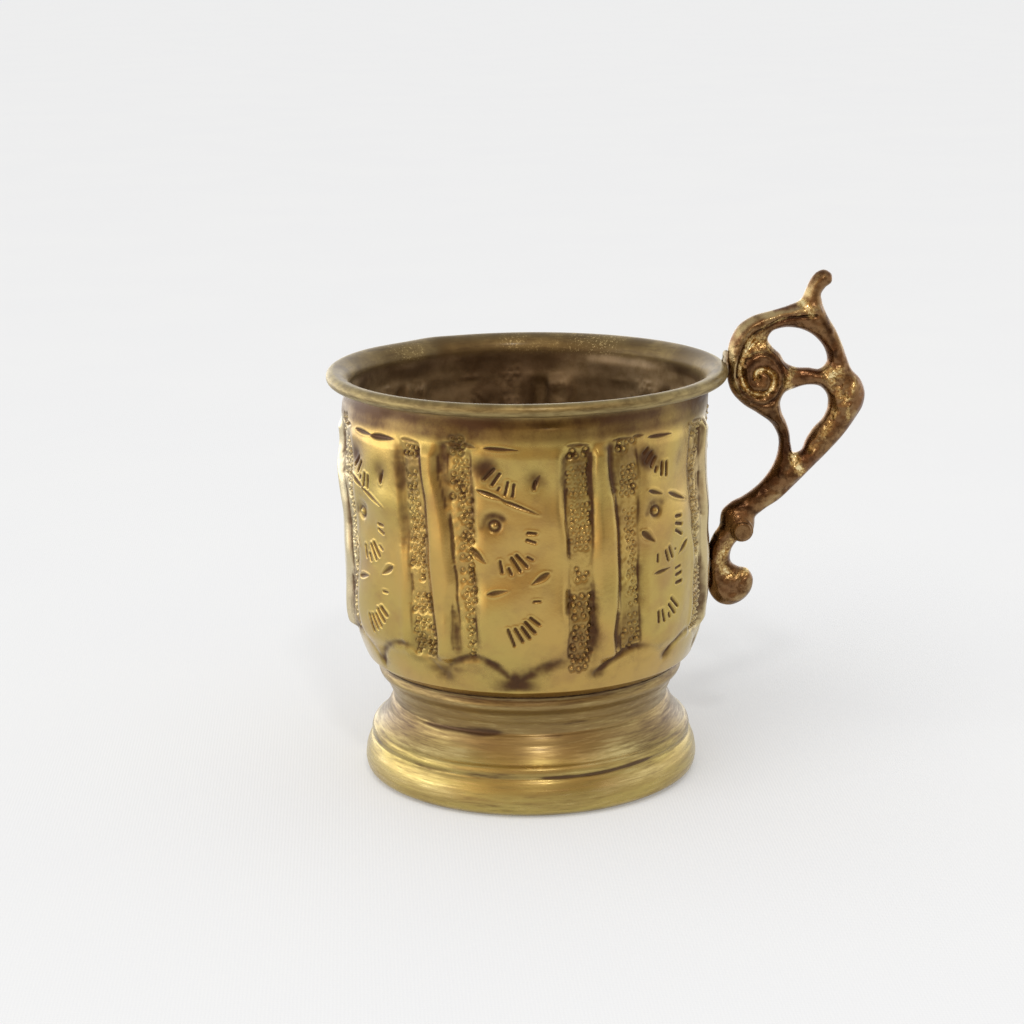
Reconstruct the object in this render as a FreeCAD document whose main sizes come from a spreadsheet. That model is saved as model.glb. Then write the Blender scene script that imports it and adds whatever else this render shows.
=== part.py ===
import FreeCAD, Part
import os
import Sketcher

# A footed brass mug: a spun and chased cup, a spun pedestal foot and a cast
# scroll handle, held together by three soldered joints.
# Frame: origin on the cup's axis in the plane that the foot rests on, +Z up,
# the handle on the +X side in the XZ plane. Millimetres.

doc = FreeCAD.newDocument("mug")

# ---------------------------------------------------------------- dimensions
SIZES = {
    # cup
    "gauge": 0.8,
    "rim_radius": 38.0,
    "rim_height": 78.9,
    "bead_radius": 1.2,
    "lip_radius": 3.3,
    "curl_gap_angle": 20.0,
    "wall_radius": 34.5,
    "wall_top": 72.0,
    "bowl_bend_height": 38.0,
    "bowl_bend_radius": 33.2,
    "crease_radius": 31.5,
    "crease_height": 24.2,
    "crease_inset": 0.6,
    "crease_lift": 0.48,
    "seat_radius": 29.3,
    "seat_height": 22.6,
    "seat_outset": 0.24,
    # foot
    "foot_gauge": 0.9,
    "solder_film": 0.2,
    "rest_inner_radius": 28.6,
    "rest_outer_radius": 30.2,
    "band_radius": 32.3,
    "band_height": 2.4,
    "band_low_bend": 2.3,
    "band_high_bend": 11.0,
    "groove_radius": 31.2,
    "groove_height": 7.0,
    "groove_depth": 0.4,
    "groove_width": 0.9,
    "ridge_radius": 30.2,
    "ridge_height": 9.4,
    "ridge_bend": 2.0,
    "waist_radius": 26.7,
    "waist_height": 15.0,
    "skirt_hollow_radius": 13.0,
    "neck_hollow_radius": 9.0,
    "collar_radius": 29.2,
    "collar_height": 20.0,
    "collar_bulge_radius": 1.5,
    "flange_inner_radius": 24.0,
    "solder_inner_radius": 25.0,
    "ridge_inside_drop": 0.6,
    "rest_return": 0.3,
    # handle
    "handle_thickness": 4.8,
    "handle_edge_round": 1.0,
    "volute_across": 44.6,
    "volute_up": 76.4,
    "volute_radius": 4.9,
    "volute_proud": 0.35,
    "ball_across": 40.5,
    "ball_up": 47.3,
    "ball_radius": 3.35,
    "boss_across": 40.9,
    "boss_up": 46.1,
    "boss_radius": 1.7,
    "boss_reach": 3.8,
    # solder that holds the handle
    "rim_solder_across": 38.3,
    "rim_solder_height": 77.0,
    "rim_solder_half_height": 3.6,
    "rim_solder_half_depth": 1.0,
    "rim_solder_half_width": 2.7,
    "wall_solder_across": 34.85,
    "wall_solder_height": 39.3,
    "wall_solder_half_height": 4.8,
    "wall_solder_half_depth": 0.75,
    "wall_solder_half_width": 3.0,
}

sheet = doc.addObject("Spreadsheet::Sheet", "Sizes")
for row, (alias, number) in enumerate(SIZES.items(), start=1):
    sheet.set(f"A{row}", alias.replace("_", " "))
    sheet.set(f"B{row}", str(number))
    sheet.setAlias(f"B{row}", alias)
doc.recompute()

ON_AXIS = "0"
UPRIGHT_PLANE = "XZ_Plane"
SAME_PLACE = 0.01
SOLIDS = []


def size(expression):
    """The value of an expression written in the sheet's names."""
    return float(sheet.evalExpression(expression))


def new_body(label):
    body = doc.addObject("PartDesign::Body", label)
    body.Label = label
    SOLIDS.append(body)
    return body


def section_sketch(body, name):
    """An empty sketch on the body's own upright plane: X across, Y up."""
    sketch = body.newObject("Sketcher::SketchObject", name)
    plane = next(f for f in body.Origin.OriginFeatures if f.Role == UPRIGHT_PLANE)
    sketch.AttachmentSupport = [(plane, "")]
    sketch.MapMode = "FlatFace"
    return sketch


def arc_edge(start, end, radius):
    """The short arc from start to end; a positive radius turns left."""
    chord = end - start
    half = chord.Length / 2
    left = FreeCAD.Vector(-chord.y, chord.x, 0).normalize()
    reach = max(radius * radius - half * half, 0.0) ** 0.5
    turn = 1 if radius > 0 else -1
    centre = (start + end) * 0.5 + left * (reach * turn)
    circle = Part.Circle(centre, FreeCAD.Vector(0, 0, 1), abs(radius))
    first, last = (start, end) if radius > 0 else (end, start)
    return Part.ArcOfCircle(circle, circle.parameter(first), circle.parameter(last))


def draw_section(sketch, corners):
    """Draw a closed outline. A corner is (across, up, bend): two expressions
    for its place, and None for a straight edge to the next corner or an
    expression for the radius of an arc to it, which turns left if positive."""
    count = len(corners)
    places = [FreeCAD.Vector(size(a), size(u), 0) for a, u, _ in corners]
    ends = []
    for index, (_, _, bend) in enumerate(corners):
        start, end = places[index], places[(index + 1) % count]
        if bend is None:
            edge = sketch.addGeometry(Part.LineSegment(start, end))
            ends.append((edge, 1, 2))
            continue
        radius = size(bend)
        edge = sketch.addGeometry(arc_edge(start, end, radius))
        ends.append((edge, 1, 2) if radius > 0 else (edge, 2, 1))
        rule = sketch.addConstraint(Sketcher.Constraint("Radius", edge, abs(radius)))
        sketch.setExpression(f"Constraints[{rule}]", f"abs({bend})")
    for index in range(count):
        edge, first, last = ends[index]
        following, following_first, _ = ends[(index + 1) % count]
        sketch.addConstraint(
            Sketcher.Constraint("Coincident", edge, last, following, following_first)
        )
        across, up, _ = corners[index]
        pin(sketch, "DistanceX", edge, first, across)
        pin(sketch, "DistanceY", edge, first, up)


def pin(sketch, kind, edge, point, expression):
    """Hold one coordinate of a point at an expression's value."""
    if expression == ON_AXIS:
        axis = -2 if kind == "DistanceX" else -1
        sketch.addConstraint(Sketcher.Constraint("PointOnObject", edge, point, axis))
        return
    rule = sketch.addConstraint(
        Sketcher.Constraint(kind, -1, 1, edge, point, size(expression))
    )
    sketch.setExpression(f"Constraints[{rule}]", expression)


def revolve(body, sketch):
    turned = body.newObject("PartDesign::Revolution", sketch.Name + "_turned")
    turned.Profile = sketch
    turned.ReferenceAxis = (sketch, ["V_Axis"])
    turned.Angle = 360
    sketch.Visibility = False
    return turned


# ------------------------------------------------------------------- the cup
def make_cup():
    """Sheet brass, spun in one piece: flat floor, rounded bowl, plain wall,
    and a lip that turns out and curls under into a hollow bead."""
    body = new_body("cup_body")
    bead_centre = "(Sizes.rim_radius - Sizes.bead_radius)"
    bead_height = "(Sizes.rim_height - Sizes.bead_radius)"
    lip_foot = "Sizes.rim_height - Sizes.lip_radius"
    core = "(Sizes.bead_radius - Sizes.gauge)"
    sine, cosine = "sin(Sizes.curl_gap_angle * 1 deg)", "cos(Sizes.curl_gap_angle * 1 deg)"
    inside = "Sizes.wall_radius - Sizes.gauge"
    corners = [
        (ON_AXIS, "Sizes.seat_height", None),
        ("Sizes.seat_radius", "Sizes.seat_height", None),
        ("Sizes.crease_radius", "Sizes.crease_height", "Sizes.bowl_bend_radius"),
        ("Sizes.wall_radius", "Sizes.bowl_bend_height", None),
        ("Sizes.wall_radius", "Sizes.wall_top", None),
        (f"{bead_centre} - Sizes.lip_radius + Sizes.gauge", lip_foot,
         "-(Sizes.lip_radius - Sizes.gauge)"),
        (bead_centre, f"{bead_height} + {core}", core),
        (f"{bead_centre} - {core} * {cosine}", f"{bead_height} - {core} * {sine}", None),
        (f"{bead_centre} - Sizes.bead_radius * {cosine}",
         f"{bead_height} - Sizes.bead_radius * {sine}", "Sizes.bead_radius"),
        ("Sizes.rim_radius", bead_height, "Sizes.bead_radius"),
        (bead_centre, "Sizes.rim_height", "Sizes.lip_radius"),
        (f"{bead_centre} - Sizes.lip_radius", lip_foot, None),
        (inside, "Sizes.wall_top", None),
        (inside, "Sizes.bowl_bend_height", "-(Sizes.bowl_bend_radius - Sizes.gauge)"),
        ("Sizes.crease_radius - Sizes.crease_inset",
         "Sizes.crease_height + Sizes.crease_lift", None),
        ("Sizes.seat_radius + Sizes.seat_outset",
         "Sizes.seat_height + Sizes.gauge", None),
        (ON_AXIS, "Sizes.seat_height + Sizes.gauge", None),
    ]
    sketch = section_sketch(body, "cup_section")
    draw_section(sketch, corners)
    revolve(body, sketch)
    return body


# ------------------------------------------------------------------ the foot
def make_foot():
    """Sheet brass, spun hollow: a narrow rest ring turned in at the bottom, a
    bulged band, a groove, a ridge, a hollow skirt up to the waist, a hollow
    neck, and a rounded collar with a flange that carries the cup."""
    body = new_body("pedestal_foot")
    top = "Sizes.seat_height - Sizes.solder_film"
    band_inside = "Sizes.band_radius - Sizes.foot_gauge"
    corners = [
        ("Sizes.rest_inner_radius", ON_AXIS, None),
        ("Sizes.rest_outer_radius", ON_AXIS, "Sizes.band_low_bend"),
        ("Sizes.band_radius", "Sizes.band_height", "Sizes.band_high_bend"),
        ("Sizes.groove_radius", "Sizes.groove_height", None),
        ("Sizes.groove_radius - Sizes.groove_depth",
         "Sizes.groove_height + Sizes.groove_width / 2", None),
        ("Sizes.groove_radius - Sizes.groove_depth / 4",
         "Sizes.groove_height + Sizes.groove_width", "Sizes.ridge_bend"),
        ("Sizes.ridge_radius", "Sizes.ridge_height", "-Sizes.skirt_hollow_radius"),
        ("Sizes.waist_radius", "Sizes.waist_height", "-Sizes.neck_hollow_radius"),
        ("Sizes.collar_radius", "Sizes.collar_height", "Sizes.collar_bulge_radius"),
        ("Sizes.seat_radius", top, None),
        ("Sizes.flange_inner_radius", top, None),
        ("Sizes.flange_inner_radius", f"{top} - Sizes.foot_gauge", None),
        ("Sizes.collar_radius - Sizes.foot_gauge", f"{top} - Sizes.foot_gauge", None),
        ("Sizes.collar_radius - Sizes.foot_gauge", "Sizes.collar_height",
         "Sizes.neck_hollow_radius"),
        ("Sizes.waist_radius - Sizes.foot_gauge", "Sizes.waist_height",
         "Sizes.skirt_hollow_radius"),
        ("Sizes.ridge_radius - Sizes.foot_gauge", "Sizes.ridge_height - Sizes.ridge_inside_drop", None),
        ("Sizes.groove_radius - Sizes.groove_depth - Sizes.foot_gauge",
         "Sizes.groove_height", None),
        (band_inside, "Sizes.band_height", None),
        ("Sizes.rest_outer_radius + Sizes.rest_return", "Sizes.foot_gauge", None),
        ("Sizes.rest_inner_radius", "Sizes.foot_gauge", None),
    ]
    sketch = section_sketch(body, "foot_section")
    draw_section(sketch, corners)
    revolve(body, sketch)
    return body


def make_foot_solder():
    """The film of solder between the foot's flange and the cup's floor."""
    body = new_body("foot_solder_ring")
    low = "Sizes.seat_height - Sizes.solder_film"
    corners = [
        ("Sizes.solder_inner_radius", low, None),
        ("Sizes.seat_radius", low, None),
        ("Sizes.seat_radius", "Sizes.seat_height", None),
        ("Sizes.solder_inner_radius", "Sizes.seat_height", None),
    ]
    sketch = section_sketch(body, "foot_solder_section")
    draw_section(sketch, corners)
    revolve(body, sketch)
    return body


# ---------------------------------------------------------------- the handle
# The casting's outline, (across, up), clockwise from the crest beside the
# finial. Its three loops are smooth closed curves.
CREST_AND_FINIAL = [(46.6, 88.2), (50.0, 89.2), (52.2, 90.2), (53.1, 92.0),
                    (53.9, 93.8), (55.1, 95.3), (56.6, 95.8), (58.0, 94.9),
                    (58.0, 93.4), (56.8, 92.4), (56.1, 91.3), (56.3, 89.7)]
RIGHT_ARM = [(57.3, 87.2), (58.9, 84.5), (60.2, 81.7), (61.2, 79.0), (62.2, 76.6)]
KNUCKLE = [(63.9, 74.7), (64.8, 72.2), (64.5, 69.7), (63.1, 67.2)]
LOWER_ARM = [(60.7, 63.8), (57.7, 60.5), (54.5, 57.3), (51.4, 54.2), (48.4, 51.4),
             (45.5, 49.5)]
BALL_RIGHT = [(43.8, 47.9), (43.6, 45.7), (42.1, 44.3), (40.2, 43.2)]
SCROLL = [(39.2, 41.2), (39.3, 39.4), (40.7, 38.3), (42.5, 37.8), (43.6, 36.1),
          (43.3, 33.6), (41.5, 31.5), (39.0, 30.6), (36.8, 31.2), (35.2, 33.2)]
BACK = [(34.85, 36.2), (34.75, 39.2), (34.9, 42.2), (35.9, 44.8)]
BALL_LEFT = [(37.2, 46.9), (37.5, 49.4), (39.2, 51.1), (41.4, 52.2)]
STEM = [(44.4, 54.4), (46.7, 57.2), (48.1, 60.4), (48.3, 63.6), (47.0, 66.3), (44.2, 68.5)]
VOLUTE_LEFT = [(41.2, 70.5), (39.1, 72.9), (38.25, 76.0), (38.25, 79.5), (38.9, 83.0),
               (40.5, 85.6), (43.2, 87.3)]
UPPER_WINDOW = [(46.0, 82.9), (46.9, 81.3), (48.3, 80.0), (49.4, 78.3), (51.3, 77.3),
                (53.9, 77.1), (56.2, 76.9), (57.4, 78.2), (57.1, 80.3), (56.0, 82.1),
                (54.2, 83.7), (51.5, 84.8), (48.6, 84.9), (46.7, 84.2)]
LOWER_WINDOW = [(48.6, 70.9), (48.8, 68.8), (49.7, 66.8), (50.4, 64.6), (50.7, 62.3),
                (51.3, 60.6), (52.5, 60.9), (53.6, 63.1), (55.0, 65.3), (56.7, 67.1),
                (57.7, 69.3), (57.5, 71.9), (56.2, 73.4), (53.7, 73.8), (51.2, 73.2),
                (49.4, 72.4)]


def closed_curve(points):
    curve = Part.BSplineCurve()
    curve.interpolate([FreeCAD.Vector(a, u, 0) for a, u in points], PeriodicFlag=True)
    return curve


def make_handle():
    """Cast brass: an openwork scroll of even thickness with rounded edges, a
    raised volute, and a ball with a small flat boss at the foot of the stem."""
    body = new_body("handle")
    outline = (CREST_AND_FINIAL + RIGHT_ARM + KNUCKLE + LOWER_ARM + BALL_RIGHT
               + SCROLL + BACK + BALL_LEFT + STEM + VOLUTE_LEFT)
    sketch = section_sketch(body, "handle_outline")
    for loop in (outline, UPPER_WINDOW, LOWER_WINDOW):
        sketch.addGeometry(closed_curve(loop))
    plate = body.newObject("PartDesign::Pad", "handle_plate")
    plate.Profile = sketch
    plate.SideType = "Symmetric"
    plate.setExpression("Length", "Sizes.handle_thickness")
    sketch.Visibility = False
    doc.recompute()

    half = size("Sizes.handle_thickness") / 2
    rims = []
    for number, edge in enumerate(plate.Shape.Edges, start=1):
        box = edge.BoundBox
        if box.YLength < SAME_PLACE and abs(abs(box.Center.y) - half) < SAME_PLACE:
            rims.append(f"Edge{number}")
    rounding = body.newObject("PartDesign::Fillet", "handle_rounding")
    rounding.Base = (plate, rims)
    rounding.setExpression("Radius", "Sizes.handle_edge_round")

    along_y = FreeCAD.Rotation(FreeCAD.Vector(1, 0, 0), 90)
    disc = body.newObject("PartDesign::AdditiveCylinder", "volute_disc")
    disc.Placement.Rotation = along_y
    disc.setExpression("Radius", "Sizes.volute_radius")
    disc.setExpression("Height", "Sizes.handle_thickness + 2 * Sizes.volute_proud")
    disc.setExpression("Placement.Base.x", "Sizes.volute_across")
    disc.setExpression("Placement.Base.y", "Sizes.handle_thickness / 2 + Sizes.volute_proud")
    disc.setExpression("Placement.Base.z", "Sizes.volute_up")

    ball = body.newObject("PartDesign::AdditiveSphere", "ball")
    ball.setExpression("Radius", "Sizes.ball_radius")
    ball.setExpression("Placement.Base.x", "Sizes.ball_across")
    ball.setExpression("Placement.Base.z", "Sizes.ball_up")

    boss = body.newObject("PartDesign::AdditiveCylinder", "boss")
    boss.Placement.Rotation = along_y
    boss.setExpression("Radius", "Sizes.boss_radius")
    boss.setExpression("Height", "Sizes.boss_reach")
    boss.setExpression("Placement.Base.x", "Sizes.boss_across")
    boss.setExpression("Placement.Base.z", "Sizes.boss_up")
    return body


# ---------------------------------------------------- solder on the handle
def make_solder(label, cup, handle):
    """A blob of solder: an ellipsoid less the cup and the handle, so that it
    fills the crevice between them and meets both."""
    blob = doc.addObject("Part::Ellipsoid", label + "_blob")
    blob.setExpression("Radius1", f"Sizes.{label}_half_height")
    blob.setExpression("Radius2", f"Sizes.{label}_half_depth")
    blob.setExpression("Radius3", f"Sizes.{label}_half_width")
    blob.setExpression("Placement.Base.x", f"Sizes.{label}_across")
    blob.setExpression("Placement.Base.z", f"Sizes.{label}_height")
    off_cup = doc.addObject("Part::Cut", label + "_off_cup")
    off_cup.Base = blob
    off_cup.Tool = cup
    joint = doc.addObject("Part::Cut", label)
    joint.Base = off_cup
    joint.Tool = handle
    joint.Label = label
    SOLIDS.append(joint)
    return joint


cup_body = make_cup()
make_foot()
make_foot_solder()
handle_body = make_handle()
make_solder("rim_solder", cup_body, handle_body)
make_solder("wall_solder", cup_body, handle_body)
doc.recompute()

# ------------------------------------------------------------ test and write
for item in doc.Objects:
    if "Invalid" in item.State or "Error" in item.State:
        raise SystemExit(f"{item.Name} failed: {item.State}")

os.makedirs("parts", exist_ok=True)
for solid in SOLIDS:
    shape = solid.Shape
    if shape.isNull() or not shape.isValid() or shape.Volume <= 0:
        raise SystemExit(f"{solid.Label} has no valid shape")
    shape.exportStep(os.path.join("parts", solid.Label + ".step"))
    box = shape.optimalBoundingBox()
    print(f"{solid.Label}: {len(shape.Solids)} solid(s), {shape.Volume:.1f} mm3, "
          f"x {box.XMin:.2f} to {box.XMax:.2f}, z {box.ZMin:.2f} to {box.ZMax:.2f}")
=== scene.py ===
"""The looks of a footed brass mug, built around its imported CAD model.

Lengths in this file are millimetres, and MM turns them into Blender's metres. An angle on the
cup's wall is in degrees, 0 where the wall faces the camera, growing towards the handle.
"""
import math

import bpy
import numpy as np
from mathutils import Matrix, Vector


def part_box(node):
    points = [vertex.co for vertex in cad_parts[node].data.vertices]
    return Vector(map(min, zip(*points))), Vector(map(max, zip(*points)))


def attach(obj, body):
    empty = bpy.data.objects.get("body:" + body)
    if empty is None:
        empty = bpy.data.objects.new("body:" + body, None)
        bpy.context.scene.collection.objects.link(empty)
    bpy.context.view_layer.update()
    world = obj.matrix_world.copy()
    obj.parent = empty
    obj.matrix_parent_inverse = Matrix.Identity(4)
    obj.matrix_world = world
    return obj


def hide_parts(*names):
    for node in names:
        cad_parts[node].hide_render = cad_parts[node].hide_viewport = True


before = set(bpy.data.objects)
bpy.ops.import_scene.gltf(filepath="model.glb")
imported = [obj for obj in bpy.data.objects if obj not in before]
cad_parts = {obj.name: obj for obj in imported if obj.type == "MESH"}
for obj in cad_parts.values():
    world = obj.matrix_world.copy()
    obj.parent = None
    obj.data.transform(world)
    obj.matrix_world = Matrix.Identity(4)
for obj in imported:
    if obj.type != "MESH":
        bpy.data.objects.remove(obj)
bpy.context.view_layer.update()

MM = 0.001
FACING = -94.0          # polar angle of the side that faces the camera

# ------------------------------------------------------------ sizes, from the frame
cup_low, cup_high = (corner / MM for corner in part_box("cup_body"))
foot_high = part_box("pedestal_foot")[1] / MM
RIM_RADIUS = cup_high.y
RIM_HEIGHT = cup_high.z
SEAT_HEIGHT = cup_low.z
BAND_RADIUS = foot_high.y
FOOT_TOP = foot_high.z
GAUGE = 0.8             # thickness of the cup's sheet
BEAD = 1.2              # radius of the rim's rolled bead
CURL_END = -160.0       # how far round the bead the sheet's edge is curled, in degrees
LIP = 3.3               # radius of the lip's turn outwards
WALL = 34.5             # outer radius of the cup's wall
WALL_TOP = 72.0
CREASE = (31.5, 24.2)   # where the bowl turns into the cup's floor, (across, up)
SEAT_RADIUS = 29.3      # the floor's flat part, which sits on the foot
BOWL_BEND = 33.2        # radius of the bowl's rounding


# ---------------------------------------------------------------- small numeric tools
def smooth(value):
    """Eases 0..1 and clips the rest."""
    value = np.clip(value, 0.0, 1.0)
    return value * value * (3.0 - 2.0 * value)


def blurred(grid, reach):
    """The grid with a Gaussian blur of that many samples; both sides wrap round."""
    down = np.fft.fftfreq(grid.shape[0])[:, None]
    along = np.fft.rfftfreq(grid.shape[1])[None, :]
    gain = np.exp(-2.0 * (math.pi * reach) ** 2 * (down ** 2 + along ** 2))
    return np.fft.irfft2(np.fft.rfft2(grid) * gain, s=grid.shape)


def clouds(shape, reach, seed):
    """Smooth random lumps of about that many samples, from about -2 to 2."""
    lumps = blurred(np.random.default_rng(seed).standard_normal(shape), reach)
    return lumps / lumps.std()


def bell(off, wide=1.0):
    """1 at no offset, falling off smoothly over that width."""
    return np.exp(-(off / wide) ** 2)


def filleted(corners, step=0.02):
    """A fine polyline through (across, up, fillet radius) corners."""
    points = [np.array(corner[:2], float) for corner in corners]
    path = [points[0]]
    for before, (corner, radius), after in zip(
            points, zip(points[1:], [c[2] for c in corners[1:-1]]), points[2:]):
        back = (before - corner) / np.linalg.norm(before - corner)
        ahead = (after - corner) / np.linalg.norm(after - corner)
        half = math.acos(max(-1.0, min(1.0, float(back @ ahead)))) / 2.0
        if radius <= 0.0 or half > math.radians(89.9):
            path.append(corner)
            continue
        reach = radius / math.tan(half)
        middle = back + ahead
        centre = corner + middle / np.linalg.norm(middle) * radius / math.sin(half)
        first, last = corner + back * reach - centre, corner + ahead * reach - centre
        start = math.atan2(first[1], first[0])
        sweep = math.atan2(last[1], last[0]) - start
        sweep = (sweep + math.pi) % (2.0 * math.pi) - math.pi
        for share in np.linspace(0.0, 1.0, max(3, int(abs(sweep) * radius / step / 4))):
            turn = start + sweep * share
            path.append(centre + radius * np.array([math.cos(turn), math.sin(turn)]))
    path.append(points[-1])
    return np.array(path)


def resampled(path, spacing):
    """The polyline again, with points spacing(across, up) apart."""
    runs = np.linalg.norm(np.diff(path, axis=0), axis=1)
    length = np.concatenate([[0.0], np.cumsum(runs)])
    fine = np.linspace(0.0, length[-1], int(length[-1] / 0.02) + 2)
    across, up = np.interp(fine, length, path[:, 0]), np.interp(fine, length, path[:, 1])
    steps = np.concatenate([[0.0], np.cumsum(np.diff(fine) / spacing(across, up)[1:])])
    count = max(2, int(round(steps[-1])) + 1)
    at = np.interp(np.linspace(0.0, steps[-1], count), steps, fine)
    return np.column_stack([np.interp(at, length, path[:, 0]), np.interp(at, length, path[:, 1])])


def section_normals(path):
    """Unit normals to the right of the polyline's direction."""
    run = np.gradient(path, axis=0)
    run /= np.maximum(np.linalg.norm(run, axis=1), 1e-9)[:, None]
    return np.column_stack([run[:, 1], -run[:, 0]])


def smooth_loop(points, spacing=0.15):
    """A closed curve through the points, as a fine polyline."""
    points = np.array(points, float)
    before, after = np.roll(points, 1, 0), np.roll(points, -1, 0)
    gap_before = np.linalg.norm(points - before, axis=1)[:, None]
    gap_after = np.linalg.norm(after - points, axis=1)[:, None]
    slope = ((points - before) / gap_before * gap_after
             + (after - points) / gap_after * gap_before) / (gap_before + gap_after)
    return hermite(points, after, slope, np.roll(slope, -1, 0), gap_after, spacing)


def smooth_line(points, spacing=0.25):
    """An open curve through the points, as a fine polyline."""
    points = np.array(points, float)
    gaps = np.linalg.norm(np.diff(points, axis=0), axis=1)
    length = np.concatenate([[0.0], np.cumsum(gaps)])
    slope = np.gradient(points, length, axis=0)
    line = hermite(points[:-1], points[1:], slope[:-1], slope[1:], gaps[:, None], spacing)
    return np.vstack([line, points[-1:]])


def hermite(start, end, slope_start, slope_end, gap, spacing):
    """Cubic pieces from each start to its end, as one fine polyline."""
    pieces = []
    for p, q, m, n, g in zip(start, end, slope_start, slope_end, gap[:, 0]):
        t = np.linspace(0.0, 1.0, max(2, int(g / spacing) + 1), endpoint=False)[:, None]
        pieces.append((2 * t ** 3 - 3 * t ** 2 + 1) * p + (t ** 3 - 2 * t ** 2 + t) * g * m
                      + (3 * t ** 2 - 2 * t ** 3) * q + (t ** 3 - t ** 2) * g * n)
    return np.vstack(pieces)


# -------------------------------------------------------------------- mesh building
def make_piece(name, places, faces, attributes=None):
    """A smooth-shaded mesh object from places in millimetres."""
    mesh = bpy.data.meshes.new(name)
    mesh.from_pydata((np.asarray(places) * MM).tolist(), [], faces)
    mesh.polygons.foreach_set("use_smooth", [True] * len(mesh.polygons))
    for label, values in (attributes or {}).items():
        layer = mesh.attributes.new(label, "FLOAT", "POINT")
        layer.data.foreach_set("value", np.asarray(values, np.float32))
    mesh.validate()
    piece = bpy.data.objects.new(name, mesh)
    bpy.context.scene.collection.objects.link(piece)
    return piece


def ring_faces(first, second, wide, narrow):
    """Faces from a ring of vertices to the next, which may have half as many."""
    a = np.arange(wide)
    if wide == narrow:
        b = (a + 1) % wide
        return np.column_stack([first + a, first + b, second + b, second + a]).tolist()
    even = np.arange(0, wide, 2)
    after = (even + 2) % wide
    return np.column_stack([first + even, first + even + 1, first + after,
                            second + after // 2, second + even // 2]).tolist()


def lathe_faces(counts, closed_on_axis):
    """Faces between rings of counts vertices; a ring of one vertex is a pole."""
    starts = np.concatenate([[0], np.cumsum(counts)])
    faces = []
    for row in range(len(counts) - 1):
        here, there = counts[row], counts[row + 1]
        first, second = int(starts[row]), int(starts[row + 1])
        if here == 1:
            a = np.arange(there)
            faces += np.column_stack(
                [np.full(there, first), second + (a + 1) % there, second + a]).tolist()
        elif there == 1:
            a = np.arange(here)
            faces += np.column_stack(
                [first + a, first + (a + 1) % here, np.full(here, second)]).tolist()
        else:
            faces += ring_faces(first, second, here, there)
    if not closed_on_axis:
        faces += ring_faces(int(starts[-2]), 0, counts[-1], counts[0])
    return faces


CORNERS = [(i, j, k) for i in (0, 1) for j in (0, 1) for k in (0, 1)]
CELL_EDGES = [(p, q) for p in CORNERS for q in CORNERS
              if p < q and sum(abs(a - b) for a, b in zip(p, q)) == 1]


def surface_net(field, low, pitch):
    """Quads on the zero level of a 3-D field that is negative inside."""
    inside = field < 0.0
    mixed = np.zeros(tuple(n - 1 for n in field.shape), bool)
    core = inside[:-1, :-1, :-1]
    for i, j, k in CORNERS:
        mixed |= core != inside[i:i + mixed.shape[0], j:j + mixed.shape[1],
                                k:k + mixed.shape[2]]
    cells = np.argwhere(mixed)
    number = np.full(mixed.shape, -1, np.int64)
    number[tuple(cells.T)] = np.arange(len(cells))
    total, crossings = np.zeros((len(cells), 3)), np.zeros(len(cells))
    for p, q in CELL_EDGES:
        here = field[tuple((cells + p).T)]
        there = field[tuple((cells + q).T)]
        crossed = (here < 0.0) != (there < 0.0)
        share = np.where(crossed, here / np.where(crossed, here - there, 1.0), 0.0)
        point = np.array(p) + share[:, None] * (np.array(q) - np.array(p))
        total += point * crossed[:, None]
        crossings += crossed
    places = low + pitch * (cells + total / crossings[:, None])
    faces = []
    for axis in range(3):
        side, deep = (axis + 1) % 3, (axis + 2) % 3
        ahead = np.roll(inside, -1, axis)
        change = inside != ahead
        for n in range(3):
            edge = [slice(None)] * 3
            edge[n] = slice(-1, None)
            change[tuple(edge)] = False
            if n != axis:
                edge[n] = slice(0, 1)
                change[tuple(edge)] = False
        at = np.argwhere(change)
        out_first = inside[tuple(at.T)]
        step_side, step_deep = np.eye(3, dtype=int)[side], np.eye(3, dtype=int)[deep]
        loop = [number[tuple((at - u * step_side - v * step_deep).T)]
                for u, v in ((1, 1), (0, 1), (0, 0), (1, 0))]
        quads = np.column_stack(loop)
        quads = np.where(out_first[:, None], quads, quads[:, ::-1])
        faces += quads.tolist()
    return places, faces


# ---------------------------------------------------------------- the chased wall map
MAP_PITCH = 0.1
MAP_LOW, MAP_HIGH = 21.0, 80.0


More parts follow.
